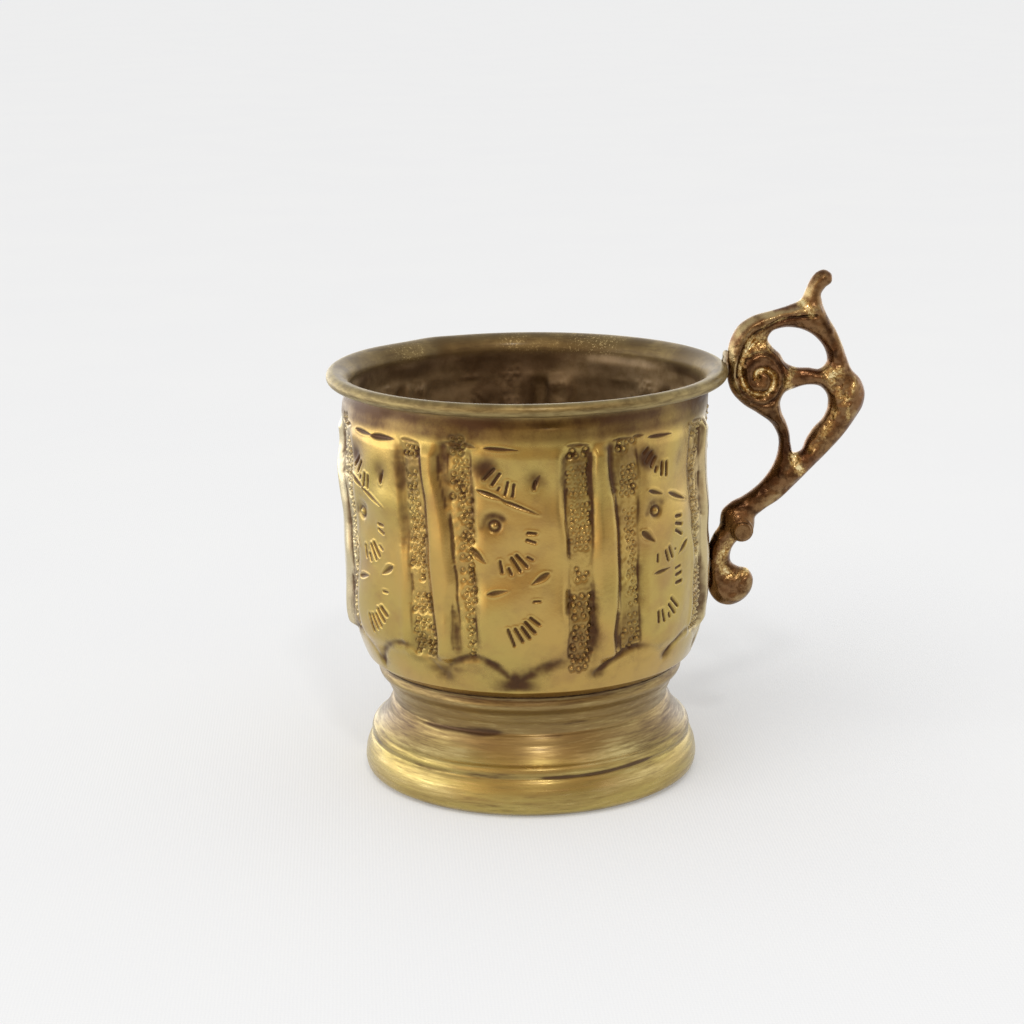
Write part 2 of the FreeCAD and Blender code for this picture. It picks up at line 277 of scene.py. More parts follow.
class WallMap:
    """The cup's chased wall, unrolled, in steps of MAP_PITCH: its height and its dirt with painted
    shade, the punched bands, and the grooves with the soot and painted shade in them, which are kept
    apart until the end."""

    def __init__(self):
        self.columns = round(2.0 * math.pi * WALL / MAP_PITCH)
        self.rows = round((MAP_HIGH - MAP_LOW) / MAP_PITCH)
        size = (5, self.rows, self.columns)
        self.height, self.dirt, self.bands, self.grooves, self.soot_and_shade = np.zeros(size)
        self.angle = (np.arange(self.columns) + 0.5) * 360.0 / self.columns - 180.0
        self.up = MAP_LOW + (np.arange(self.rows) + 0.5) * MAP_PITCH

    def near(self, angle, up, reach):
        """The samples within reach of a point, and their offsets from it."""
        centre = (angle + 180.0) / 360.0 * self.columns
        span = int(reach / MAP_PITCH) + 2
        columns = np.arange(int(centre) - span, int(centre) + span + 1)
        row = int((up - MAP_LOW) / MAP_PITCH)
        rows = np.arange(max(0, row - span), min(self.rows, row + span + 1))
        across = (columns + 0.5 - centre) * MAP_PITCH
        above = self.up[rows] - up
        return np.ix_(rows, columns % self.columns), across[None, :], above[:, None]

    def near_line(self, start, end, margin):
        """The samples about a straight line between two (angle, up), how far each is from
        it, and the share of the line that lies before its foot there."""
        run = np.array([math.radians(end[0] - start[0]) * WALL, end[1] - start[1]])
        length = max(float(np.linalg.norm(run)), 0.05)
        window, across, above = self.near((start[0] + end[0]) / 2.0, (start[1] + end[1]) / 2.0,
                                          length / 2.0 + margin)
        share = np.clip((across * run[0] + above * run[1]) / length ** 2 + 0.5, 0.0, 1.0)
        off = np.hypot(across - (share - 0.5) * run[0], above - (share - 0.5) * run[1])
        return window, off, share

    def stain(self, window, dirt):
        """Darkens the window's samples that are less dirty than that."""
        self.dirt[window] = np.maximum(self.dirt[window], dirt)

    def stroke(self, start, end, wide, depth, dirt=0.85, leaf=False):
        """A chisel mark from one (angle, up) to another; a leaf's ends taper."""
        window, off, share = self.near_line(start, end, 1.6 * wide)
        taper = 0.22 + 0.78 * np.sin(math.pi * share ** 0.7) if leaf else 1.0
        reach = wide / 2.0 * taper
        cut = np.clip(1.15 - off / reach, 0.0, 1.0)
        self.height[window] -= depth * cut * taper
        self.stain(window, dirt * smooth(1.45 - off / reach))
        self.height[window] += 0.26 * depth * bell(off - 1.45 * reach, 0.22)

    def curve(self, points, wide, depth, dirt, fade=None):
        """A groove along a smooth line of (angle, up), fading as fade says."""
        line = smooth_line(points, 1.0)
        for number in range(len(line) - 1):
            share = number / max(1, len(line) - 2)
            power = fade(share) if fade else 1.0
            self.lower_along(line[number], line[number + 1], wide, depth * power, dirt * power)

    def lower_along(self, start, end, wide, depth, dirt):
        """A straight piece of a groove. Pieces that overlap don't add up."""
        window, off, _ = self.near_line(start, end, 1.5 * wide)
        groove, soot_and_shade = depth * bell(2.1 * off, wide), dirt * bell(1.8 * off, wide)
        self.grooves[window] = np.maximum(self.grooves[window], groove)
        self.soot_and_shade[window] = np.maximum(self.soot_and_shade[window], soot_and_shade)

    def ring(self, angle, up, radius, line, depth, dirt=0.75):
        """A ring punch: a round groove about a small dome."""
        window, across, above = self.near(angle, up, radius + 3.0 * line)
        off = np.hypot(across, above)
        cut = bell(off - radius, line)
        dome = np.exp(-(off / (0.72 * radius)) ** 4)
        self.height[window] += depth * (0.9 * dome - cut)
        self.dirt[window] *= 1.0 - 0.92 * dome
        self.stain(window, dirt * cut)

    def smudge(self, angle, up, wide, tall, dirt, dent=0.0):
        """A soft dark patch, and a soft dent under it."""
        window, across, above = self.near(angle, up, 2.2 * max(wide, tall))
        fall = np.exp(-(across / wide) ** 2 - (above / tall) ** 2)
        self.height[window] -= dent * fall
        self.stain(window, dirt * fall)


# A unit of the pattern is a panel, a punched band, a plain rib and a second band. Seven
# units go round. These are the edges of a unit, in degrees from its panel's middle.
UNITS = 7
UNIT_ANGLE = 360.0 / UNITS
RIB_RISE, PANEL_RISE, SHOULDER_RISE = 0.92, 0.34, 0.2
BAND_A_SINK, BAND_B_SINK = 0.3, 0.26
FIRST_PANEL = -3.5
BAND_A = (14.2, 23.2)
RIB = (24.0, 30.6)
BAND_B = (32.0, 39.4)
BAND_TOP, BAND_FOOT = 70.4, 30.6
BAND_MARGIN = 0.3       # degrees beside a band's edges without ring punches
# The same edges as they were really drawn, freehand, at these heights: two versions that
# take turns round the cup.
EDGE_UPS = (71.0, 65.0, 60.0, 55.0, 50.0, 45.0, 40.0, 35.0, 31.0)
DRAWN_EDGES = [
    [(14.5, 14.3, 14.5, 15.1, 15.7, 15.5, 15.5, 15.5, 15.5),
     (22.3, 22.3, 22.8, 23.1, 22.5, 23.1, 23.3, 23.3, 22.9),
     (23.7, 23.7, 24.1, 24.1, 23.7, 24.1, 24.5, 24.5, 24.3),
     (27.7, 27.9, 29.9, 30.7, 31.1, 31.1, 30.5, 29.7, 31.1),
     (30.1, 30.3, 30.9, 31.5, 31.7, 31.7, 32.1, 32.5, 33.1),
     (37.5, 38.9, 38.8, 38.5, 38.8, 38.7, 38.8, 39.3, 40.5)],
    [(14.3, 14.9, 15.4, 15.9, 15.7, 16.3, 16.1, 15.9, 15.9),
     (21.9, 22.1, 22.3, 22.9, 23.1, 23.5, 24.1, 25.5, 25.3),
     (22.0, 23.2, 23.9, 23.9, 24.2, 24.3, 24.9, 25.9, 25.5),
     (26.9, 26.6, 28.7, 30.4, 31.0, 32.1, 30.2, 29.9, 30.5),
     (30.9, 30.7, 31.3, 31.5, 32.0, 33.0, 33.3, 33.7, 33.9),
     (37.9, 37.9, 38.3, 38.5, 38.3, 38.6, 38.9, 38.9, 39.4)],
]
# Grooves that follow an edge: (edge, from up, to up, width, depth, dirt). An edge with a
# fraction lies that share of the way to the next one, and a negative one lies that share of
# BEFORE_EDGE degrees before the first.
BEFORE_EDGE = 5.0
# The wide dark grooves beside the ribs are soot and partly painted shade.
SEAMS = [
    [(0, 71.0, 57.0, 1.6, 0.34, 0.6), (0, 59.0, 49.0, 0.85, 0.26, 0.6),
     (0, 45.5, 38.5, 1.5, 0.34, 0.65), (1, 71.0, 59.0, 1.5, 0.28, 0.5),
     (1, 61.0, 51.5, 0.7, 0.2, 0.55), (1, 45.0, 29.5, 2.0, 0.5, 0.85),
     (3.5, 71.5, 60.0, 2.2, 0.5, 0.8), (4, 61.5, 40.5, 0.75, 0.3, 0.7),
     (3.6, 40.0, 31.0, 2.0, 0.46, 0.82), (5, 52.0, 31.5, 1.1, 0.24, 0.5)],
    [(-0.16, 71.5, 48.0, 2.9, 0.46, 0.86), (0, 47.0, 39.0, 0.9, 0.22, 0.7),
     (1.5, 64.0, 50.0, 1.5, 0.3, 0.6), (1.5, 43.0, 30.5, 1.3, 0.3, 0.8),
     (3.6, 72.0, 64.5, 2.4, 0.42, 0.75), (3.7, 67.0, 58.5, 2.2, 0.36, 0.6),
     (4, 60.0, 48.0, 0.8, 0.26, 0.72), (4, 50.0, 41.0, 0.65, 0.2, 0.5),
     (3.7, 42.0, 31.0, 2.1, 0.46, 0.8), (5, 68.5, 50.5, 1.3, 0.22, 0.62),
     (5, 50.5, 31.0, 1.5, 0.22, 0.6)],
]
# Ring punches: (band, from up, to up, share of the band from, to, ring radius, how hard).
MISSED_PUNCHES = 0.1
PUNCHED = [
    [(0, 70.6, 68.2, 0.1, 0.9, 0.62, 1.0), (0, 67.6, 60.5, 0.1, 0.9, 0.46, 0.45),
     (0, 60.0, 51.4, 0.1, 0.95, 0.48, 0.5), (0, 49.0, 45.4, 0.3, 0.8, 0.56, 0.6),
     (0, 43.8, 38.4, 0.1, 0.9, 0.66, 0.95), (0, 37.2, 28.4, 0.1, 0.95, 0.62, 1.0),
     (4, 71.2, 68.6, 0.1, 0.95, 0.62, 1.0), (4, 66.4, 60.4, 0.2, 0.95, 0.52, 0.75),
     (4, 58.6, 45.0, 0.35, 0.95, 0.48, 0.5), (4, 44.4, 38.0, 0.45, 0.95, 0.52, 0.7),
     (4, 36.6, 31.4, 0.05, 0.95, 0.6, 1.0)],
    [(0, 70.4, 68.0, 0.05, 0.95, 0.55, 0.9), (0, 66.0, 57.4, 0.1, 0.8, 0.56, 0.8),
     (4, 68.2, 61.0, 0.3, 0.98, 0.44, 0.4),
     (0, 57.0, 48.2, 0.1, 0.95, 0.5, 0.9), (0, 47.8, 44.8, 0.1, 0.9, 0.62, 1.0),
     (0, 42.6, 38.6, 0.1, 0.95, 0.54, 0.9), (0, 38.0, 30.4, 0.1, 0.95, 0.58, 1.0),
     (4, 72.6, 68.6, 0.05, 0.8, 0.66, 1.0), (4, 65.4, 60.6, 0.05, 0.75, 0.72, 0.9),
     (4, 61.6, 49.8, 0.45, 0.98, 0.52, 0.8), (4, 49.4, 45.4, 0.35, 0.98, 0.56, 0.9),
     (4, 45.0, 31.4, 0.45, 0.98, 0.52, 0.75)],
]

# Chisel marks of two panels: (start angle, start up, end angle, end up, width, depth).
PANEL_MARKS = [
    [
        (-9.7, 64.9, -6.8, 66.7, 0.62, 0.34), (-7.4, 63.9, -5.1, 65.9, 0.62, 0.34),
        (-5.7, 62.9, -5.3, 63.4, 0.5, 0.2), (-3.6, 62.1, -2.7, 64.4, 0.56, 0.32),
        (-1.4, 61.8, -0.9, 64.0, 0.56, 0.32), (5.0, 63.2, 5.4, 64.5, 0.6, 0.3),
        (3.0, 55.2, 5.3, 55.1, 0.6, 0.3), (2.7, 53.9, 5.1, 53.4, 0.6, 0.32),
        (-5.4, 49.9, -4.7, 47.8, 0.55, 0.3), (-2.8, 48.6, -2.0, 47.5, 0.55, 0.28),
        (-2.0, 50.5, 0.6, 48.1, 0.6, 0.36), (-0.5, 51.0, 2.7, 48.9, 0.6, 0.36),
        (2.8, 50.7, 4.3, 50.2, 0.5, 0.22), (4.5, 42.6, 6.3, 42.6, 0.5, 0.24),
        (-3.2, 37.3, -1.4, 34.3, 0.6, 0.34), (-1.1, 37.5, 1.1, 35.1, 0.6, 0.36),
        (0.9, 37.8, 3.2, 35.7, 0.6, 0.34), (1.9, 38.7, 4.8, 36.7, 0.62, 0.38),
        (3.5, 39.5, 6.1, 38.2, 0.6, 0.34),
    ],
    [
        (-11.1, 67.7, -9.5, 68.6, 0.55, 0.28), (-10.1, 66.0, -7.6, 67.7, 0.6, 0.36),
        (-8.1, 65.0, -6.2, 66.6, 0.6, 0.36), (-6.6, 64.0, -5.8, 64.7, 0.55, 0.28),
        (-4.1, 63.2, -3.4, 65.4, 0.58, 0.34), (-1.8, 62.9, -1.5, 65.3, 0.58, 0.34),
        (2.0, 54.8, 4.5, 54.7, 0.6, 0.3), (2.0, 53.5, 5.0, 53.0, 0.6, 0.34),
        (2.0, 52.2, 5.3, 51.1, 0.62, 0.36), (-6.5, 47.3, -6.4, 48.6, 0.5, 0.2),
        (-3.1, 48.9, -1.8, 47.0, 0.6, 0.34), (-1.4, 49.4, 0.3, 47.4, 0.6, 0.36),
        (1.8, 48.7, 2.1, 48.6, 0.5, 0.2), (2.2, 44.9, 4.7, 45.1, 0.5, 0.2),
        (2.5, 43.6, 5.2, 43.8, 0.58, 0.32), (2.5, 42.1, 5.2, 42.2, 0.6, 0.34),
        (-6.2, 37.8, -6.1, 35.9, 0.55, 0.28), (-4.4, 37.8, -3.6, 35.8, 0.58, 0.32),
        (-1.5, 36.9, -1.1, 36.2, 0.55, 0.26), (-1.2, 38.5, 1.2, 36.7, 0.6, 0.36),
        (0.0, 39.5, 2.8, 37.7, 0.6, 0.36),
    ],
]
# Leaf-shaped marks of the two panels, wider towards their start.
PANEL_LEAVES = [
    [
        (-11.6, 62.9, -3.0, 61.1, 0.85, 0.4), (-4.4, 61.2, 6.8, 58.6, 0.7, 0.34),
        (-13.8, 52.0, -9.2, 49.5, 1.3, 0.42), (9.6, 47.8, 4.4, 45.8, 1.25, 0.38),
        (-8.9, 43.7, -2.6, 44.6, 0.95, 0.3), (4.9, 63.4, 7.0, 65.7, 1.2, 0.16),
    ],
    [
        (-9.3, 60.8, -3.4, 59.6, 0.85, 0.36), (-0.4, 59.5, 8.6, 57.3, 0.8, 0.34),
        (-11.6, 53.4, -7.2, 51.2, 1.4, 0.44), (9.2, 49.5, 4.2, 47.5, 0.95, 0.34),
        (-7.4, 45.1, -0.4, 45.5, 0.75, 0.3),
    ],
]
PANEL_RINGS = [(-6.5, 56.3), (-6.1, 56.7)]
# Each unit's panel kind and how far its hand-struck marks stray, starting with the front one.
UNIT_PANELS = [(0, 0.0, 0.0), (1, 0.1, 0.0), (0, 0.5, 0.7), (1, -0.4, -0.6), (0, 0.8, 0.4),
               (1, -0.7, 0.5), (0, 0.0, -1.3)]
# Scallops below the bands: where each begins, (angle, up), how far it rises to its right,
# its width, and how much of it is left at its right end.
SCALLOPS = [
    (-184.5, 26.6, 4.6, 1.5, 0.3), (-159.0, 25.9, 4.9, 1.3, 0.6), (-133.0, 26.8, 4.3, 1.6, 0.3),
    (-108.0, 26.2, 5.0, 1.4, 0.5), (-82.5, 26.9, 4.6, 1.4, 0.4), (-58.0, 26.2, 5.6, 1.5, 0.7),
    (-28.8, 26.8, 5.3, 1.6, 0.9), (-4.2, 25.3, 4.0, 2.3, 0.25), (21.4, 27.2, 4.0, 1.4, 0.35),
    (49.4, 28.0, 4.4, 1.4, 0.4), (74.0, 26.4, 4.8, 1.5, 0.5), (99.0, 26.9, 4.4, 1.6, 0.3),
    (124.5, 26.0, 4.9, 1.4, 0.6), (150.0, 26.7, 4.5, 1.5, 0.4), (175.5, 26.6, 4.6, 1.5, 0.3)]

# Dark patches of their own: (angle, up, width, height, dirt).
SMUDGES = [
    (-35.0, 33.0, 3.4, 3.4, 0.82), (-36.5, 29.8, 3.4, 1.3, 0.66), (-30.0, 28.2, 3.6, 1.4, 0.8),
    (-32.0, 31.0, 2.4, 2.0, 0.75), (-24.0, 28.6, 2.4, 1.0, 0.5), (2.0, 28.6, 3.2, 1.2, 0.55),
    (-4.8, 27.0, 1.8, 1.7, 0.85), (-22.0, 70.6, 2.0, 1.6, 0.7), (-26.0, 68.5, 1.0, 2.6, 0.7),
    (-19.2, 71.4, 2.4, 1.2, 0.6), (15.0, 64.0, 2.6, 6.0, 0.42), (16.0, 36.0, 2.6, 6.5, 0.46),
    (32.4, 34.0, 2.6, 3.4, 0.5), (20.2, 36.0, 0.8, 6.0, 0.7), (41.0, 58.3, 1.6, 0.8, 0.6),
    (-1.0, 27.2, 3.0, 1.1, 0.5), (61.0, 64.0, 1.2, 6.0, 0.6)]
# How dark the painted shade under the rim is round the neck, (angle, share).
NECK_SHADE = [(-180, 0.95), (-76, 1.2), (-60, 1.3), (-34, 1.3), (-10, 0.9), (4, 0.88),
              (22, 1.13), (40, 1.13), (60, 1.0), (180, 0.95)]


def version(unit):
    """Which of the two drawn versions a unit has. The last one is next to the first."""
    return unit % 2 if unit < UNITS - 1 else 1


def unit_edges(unit, up):
    """A unit's six edges at each height, in degrees. Every unit was drawn a little differently."""
    draw = np.random.default_rng(40 + unit)
    middle = FIRST_PANEL + unit * UNIT_ANGLE
    strays = unit not in (0, UNITS - 1)
    edges = []
    for drawn in DRAWN_EDGES[version(unit)]:
        phase, swing = draw.uniform(0.0, 6.3), draw.uniform(0.2, 0.5)
        edges.append(middle + np.interp(-up, -np.array(EDGE_UPS), drawn)
                     + strays * swing * np.sin(phase + up / 5.5) + 0.12 * np.sin(phase + up / 1.3))
    return edges


def wrapped(angle):
    """The same angle, from -180 up to 180."""
    return (angle + 180.0) % 360.0 - 180.0


def between(angle, low, high, soft):
    """1 between two angles and 0 outside, eased over soft degrees."""
    middle, half = (low + high) / 2.0, (high - low) / 2.0
    off = np.abs(wrapped(angle[None, :] - middle[:, None]))
    return smooth((half[:, None] - off) / soft + 0.5)


def form_ends(up):
    """1 beside the forms and 0 above and below them, with long soft ends."""
    return (smooth((BAND_TOP + 0.6 - up) / 2.6) * smooth((up - BAND_FOOT) / 2.6 + 0.5))[:, None]


def rounded(edge):
    """The edge with its corners rounded off."""
    return blurred(np.tile(edge, (4, 1)), 6.0)[0]


def raise_forms(wall):
    """Pillowed panels and round ribs, with bands sunk between them."""
    ends = form_ends(wall.up)
    for unit in range(UNITS):
        a0, a1, r0, r1, b0, b1 = (rounded(edge) for edge in unit_edges(unit, wall.up))
        middle, half = (r0 + r1) / 2.0, (r1 - r0) / 2.0 + 1.1
        off = np.abs(wrapped(wall.angle[None, :] - middle[:, None])) / half[:, None]
        wall.height += RIB_RISE * ends * smooth((1.0 - off) / 0.55) * (1.0 - 0.12 * off ** 2)
        for low, high, sink in ((a0, a1, BAND_A_SINK), (b0, b1, BAND_B_SINK)):
            band = between(wall.angle, low, high, 1.8) * ends
            wall.height -= sink * band
            wall.bands = np.maximum(wall.bands, band)
        before = unit_edges((unit - 1) % UNITS, wall.up)[5]
        low, high = wrapped(before), wrapped(a0)
        high = np.where(high < low, high + 360.0, high)
        middle, half = (low + high) / 2.0, (high - low) / 2.0
        off = np.abs(wrapped(wall.angle[None, :] - middle[:, None])) / half[:, None]
        wall.height += PANEL_RISE * ends * smooth((1.02 - off) / 0.3) * (off < 1.1)
        shoulder = wrapped(wall.angle[None, :] - (a0 - 2.3)[:, None])
        wall.height += SHOULDER_RISE * ends * bell(shoulder, 1.3)
    dents = 0.22 * clouds(wall.height.shape, 55.0, 11) + 0.13 * clouds(wall.height.shape, 24.0, 12)
    wall.height += dents * smooth((wall.up - 27.0) / 6.0)[:, None]
    patches = np.clip(0.22 + 0.14 * clouds(wall.dirt.shape, 30.0, 34), 0.06, 0.6)
    edging = np.clip(0.5 + 0.22 * clouds(wall.dirt.shape, 18.0, 37), 0.1, 0.85)
    near_edge = 4.0 * wall.bands * (1.0 - wall.bands)
    wall.dirt = np.maximum(wall.dirt, patches * wall.bands)
    wall.dirt = np.maximum(wall.dirt, edging * near_edge * ends)


def cut_seams(wall):
    """Uneven grooves along the edges of the bands."""
    draw = np.random.default_rng(15)
    for unit in range(UNITS):
        strays = unit not in (0, UNITS - 1)
        for number, start, end, wide, depth, dirt in SEAMS[version(unit)]:
            start += strays * draw.uniform(-2.0, 2.0)
            end += strays * draw.uniform(-2.0, 2.0)
            ups = np.linspace(start, end, max(4, int(abs(end - start) / 1.6)))
            edges = unit_edges(unit, ups)
            first = max(0, math.floor(number))
            share = number - first
            before_first = BEFORE_EDGE * min(share, 0.0)
            share = max(share, 0.0)
            beyond = edges[min(len(edges) - 1, first + 1)]
            line = edges[first] * (1.0 - share) + beyond * share + before_first
            line = line + draw.normal(0.0, 0.08, len(line))

            def fade(share):
                return float(smooth(share / 0.25) * smooth((1.0 - share) / 0.25))

            wall.curve(list(zip(line, ups)), wide, depth, dirt, fade)


def punch_bands(wall):
    """Ring punches, close together but unevenly struck."""
    draw = np.random.default_rng(7)
    for unit in range(UNITS):
        for band, start, end, left, right, size, power in PUNCHED[version(unit)]:
            pitch = 2.1 * size
            for number, up in enumerate(np.arange(end + size, start, 0.87 * pitch)):
                edges = unit_edges(unit, np.array([up]))
                side = edges[band][0] + BAND_MARGIN
                across = edges[band + 1][0] - BAND_MARGIN - side
                low, high = side + across * left, side + across * right
                step = math.degrees(pitch / WALL)
                lanes = max(1, round((high - low) / step))
                slack = (high - low - lanes * step) / 2.0
                for lane in range(lanes):
                    angle = low + slack + step * (lane + 0.5 + 0.35 * (number % 2 - 0.5))
                    angle += draw.normal(0.0, 0.16)
                    place = up + draw.normal(0.0, 0.13)
                    hard = power * draw.uniform(0.7, 1.15)
                    if draw.random() < MISSED_PUNCHES:
                        continue
                    radius = size * draw.uniform(0.84, 1.04)
                    wall.ring(angle, place, 0.84 * radius, 0.46 * radius,
                              0.07 + 0.21 * hard, 0.28 + 0.3 * hard)
    wall.height += 0.025 * clouds(wall.height.shape, 3.0, 21) * wall.bands


def chase_panels(wall):
    """Combs of short strokes, leaves, a ring and a row of dashes on each panel."""
    draw = np.random.default_rng(9)
    for unit, (kind, stray, lift) in enumerate(UNIT_PANELS):
        middle = FIRST_PANEL + unit * UNIT_ANGLE + stray
        wall.smudge(middle - 9.0, 66.7 + lift, 2.7, 2.2, 0.85, 0.45)
        wall.smudge(middle + 5.6, 65.0 + lift, 1.9, 2.3, 0.55 - 0.35 * kind, 0.34 - 0.24 * kind)
        if kind == 1:
            wall.smudge(middle - 5.6, 65.2 + lift, 2.2, 1.5, 0.4, 0.16)
        for a0, z0, a1, z1, wide, depth in PANEL_MARKS[kind]:
            slip = draw.normal(0.0, 0.12, 2) * (unit not in (0, 1))
            wall.stroke((middle + a0 + 0.4 + slip[0], z0 + lift + slip[1]),
                        (middle + a1 + 0.4 + slip[0], z1 + lift + slip[1]), 1.12 * wide, 1.1 * depth)
        for a0, z0, a1, z1, wide, depth in PANEL_LEAVES[kind]:
            wall.stroke((middle + a0, z0 + lift), (middle + a1, z1 + lift), wide, depth, 0.75, True)
        ring_angle, ring_up = PANEL_RINGS[kind]
        ring_angle, ring_up = middle + ring_angle, ring_up + lift
        wall.smudge(ring_angle - 0.6, ring_up + 0.3, 2.3, 2.3, 0.58, 0.36)
        wall.ring(ring_angle, ring_up, 0.92, 0.42, 0.32, 0.85)
        hood = [(ring_angle + math.degrees(2.0 * math.sin(t) / WALL), ring_up + 2.0 * math.cos(t))
                for t in np.radians([-95.0, -60.0, -15.0, 20.0, 50.0])]
        wall.curve(hood, 1.5, 0.14, 0.66)
        dash = middle - 3.0 + draw.uniform(-1.0, 1.0)
        wall.stroke((dash - 5.5, 70.5), (dash + 4.6, 70.3), 0.75, 0.26, 0.8, True)
    for unit in range(UNITS):
        middle = FIRST_PANEL + unit * UNIT_ANGLE
        for mark, length in ((18.5, 7.0), (33.0, 6.5), (-13.0, 4.0)):
            start = middle + mark - length / 2.0 + draw.uniform(-0.8, 0.8)
            wall.stroke((start, 70.9 + draw.uniform(-0.3, 0.3)),
                        (start + length, 70.8 + draw.uniform(-0.4, 0.3)), 0.8, 0.2, 0.6, True)
    wall.stroke((-54.0, 70.2), (-43.4, 70.5), 1.1, 0.3, 0.85, True)


def cut_scallops(wall):
    """Crescents below the bands, deep on the left and weaker to the right."""
    for (a0, z0, rise, wide, left), (a1, z1, *_) in zip(SCALLOPS, SCALLOPS[1:]):
        share = np.array([0.0, 0.08, 0.2, 0.36, 0.52, 0.7, 0.86, 1.0])
        up = z0 + (z1 - z0) * share + rise * np.sin(math.pi * share) ** 0.75
        line = list(zip(a0 + (a1 - a0) * share, up))

        def fade(along):
            return 1.0 - (1.0 - left) * float(smooth((along - 0.38) / 0.3))

        wall.curve(line, 1.1 * wide, 0.38, 0.88, fade)
        wall.smudge(a0 + 0.4, z0 + 0.5, 2.2 * wide - 1.0, 0.6 + 0.6 * wide, 0.32 + 0.26 * wide, 0.14)


def shade_by_hand(wall):
    """Old polish and smoke that gather at the feet of the bands and below them."""
    draw = np.random.default_rng(17)
    for unit in range(UNITS):
        middle = FIRST_PANEL + unit * UNIT_ANGLE
        for angle in (19.2, 35.6):
            wall.smudge(middle + angle, 31.6, 2.6, 2.2, draw.uniform(0.35, 0.6))
        wall.smudge(middle + 19.0, 68.0, 2.4, 3.0, draw.uniform(0.3, 0.5))
    for angle, up, wide, tall, dirt in SMUDGES:
        wall.smudge(angle, up, wide, tall, dirt)


def chased_wall():
    """The whole wall: its forms, its marks, the dirt that gathers in them, and painted light and shade.
    """
    wall = WallMap()
    raise_forms(wall)
    cut_seams(wall)
    punch_bands(wall)
    chase_panels(wall)
    cut_scallops(wall)
    shade_by_hand(wall)
    uneven = 0.86 + 0.14 * clouds(wall.dirt.shape, 12.0, 35) + 0.08 * clouds(wall.dirt.shape, 4.0, 36)
    wall.dirt = np.maximum(wall.dirt, wall.soot_and_shade * np.clip(uneven, 0.5, 1.15))
    wall.height -= wall.grooves * np.clip(0.7 + 0.4 * uneven, 0.6, 1.2)
    # Lighter about angle -36: painted light, on the side the light falls on.
    wall.dirt *= 1.0 - 0.3 * bell(wall.angle + 36.0, 13.0)[None, :]
    hollow = blurred(wall.height, 9.0) - wall.height
    wall.dirt = np.maximum(wall.dirt, smooth((hollow - 0.06) / 0.24) * 0.75)
    angle, up = wall.angle[None, :], wall.up[:, None]
    # Darker towards the top, most about angle -42, and low on the bowl about angle -16.
    wall.dirt += (0.07 + 0.15 * bell(angle + 42.0, 26.0)) * smooth((up - 54.0) / 12.0)
    wall.dirt += 0.13 * bell(angle + 16.0, 20.0) * bell(up - 27.5, 4.5)
    # Painted shade about angle 30, on the side turned from the light.
    wall.dirt += 0.08 * bell(angle - 30.0, 22.0)
    # Painted shade on the neck under the rim's bead, stronger at some angles.
    neck = 0.62 * smooth((up - 69.8) / 2.8) + 0.17 * smooth((up - 73.0) / 2.0)
    neck = neck * np.interp(angle, *zip(*NECK_SHADE))
    uneven = 1.0 + 0.12 * clouds(wall.dirt.shape, 26.0, 33)
    wall.dirt = np.maximum(wall.dirt, neck * uneven)
    return wall


def read_map(grid, wall, angle, up):
    """The map's values at rows of heights and columns of angles."""
    row = np.clip((up - MAP_LOW) / MAP_PITCH - 0.5, 0.0, wall.rows - 1.001)
    column = (wrapped(angle) + 180.0) / 360.0 * wall.columns - 0.5
    r, c = np.floor(row).astype(int), np.floor(column).astype(int)
    dr, dc = (row - r)[:, None], (column - c)[None, :]
    c0, c1 = c % wall.columns, (c + 1) % wall.columns
    upper = grid[np.ix_(r, c0)] * (1 - dc) + grid[np.ix_(r, c1)] * dc
    lower = grid[np.ix_(r + 1, c0)] * (1 - dc) + grid[np.ix_(r + 1, c1)] * dc
    return upper * (1 - dr) + lower * dr


# ------------------------------------------------------------------------- the cup
PANEL_COLUMN, BAND_COLUMN, RIB_COLUMN = 0.25, 0.165, 0.38


def wall_columns():
    """Angles of the mesh's columns: close together where the wall is punched."""
    fine = np.linspace(-180.0, 180.0, 14401)
    pitch = np.full(fine.shape, PANEL_COLUMN)
    for unit in range(UNITS):
        middle = FIRST_PANEL + unit * UNIT_ANGLE
        off = (fine - middle) % 360.0
        for low, high in (BAND_A, BAND_B):
            pitch[(off > low - 1.0) & (off < high + 1.0)] = BAND_COLUMN
        pitch[(off > RIB[0]) & (off < RIB[1])] = RIB_COLUMN
    steps = np.concatenate([[0.0], np.cumsum(np.radians(np.diff(fine)) * WALL / pitch[1:])])
    count = 2 * round(steps[-1] / 2.0)
    return np.interp(np.arange(count) * steps[-1] / count, steps, fine)


# Painted reflection: where the wall is painted paler, most at the sides that the camera sees edge-on:
# (angle, half width, how much).
PAINTED_SHEEN = [(-90.0, 21.0, 0.95), (88.0, 21.0, 0.6), (-165.0, 14.0, 0.35), (150.0, 12.0, 0.3)]
# Where the lip's inner slope is scoured bright: (angle, half width, how much).
SCOURED = [(156.0, 11.0, 1.0), (-176.0, 10.0, 0.5), (-134.0, 9.0, 0.55), (118.0, 8.0, 0.3),
           (70.0, 12.0, 0.4), (-60.0, 14.0, 0.4), (-20.0, 10.0, 0.3)]


def arc(centre, radius, start, end, count):
    """Corners along an arc between two angles in degrees."""
    return [(centre[0] + radius * math.cos(turn), centre[1] + radius * math.sin(turn), 0.0)
            for turn in np.radians(np.linspace(start, end, count))]


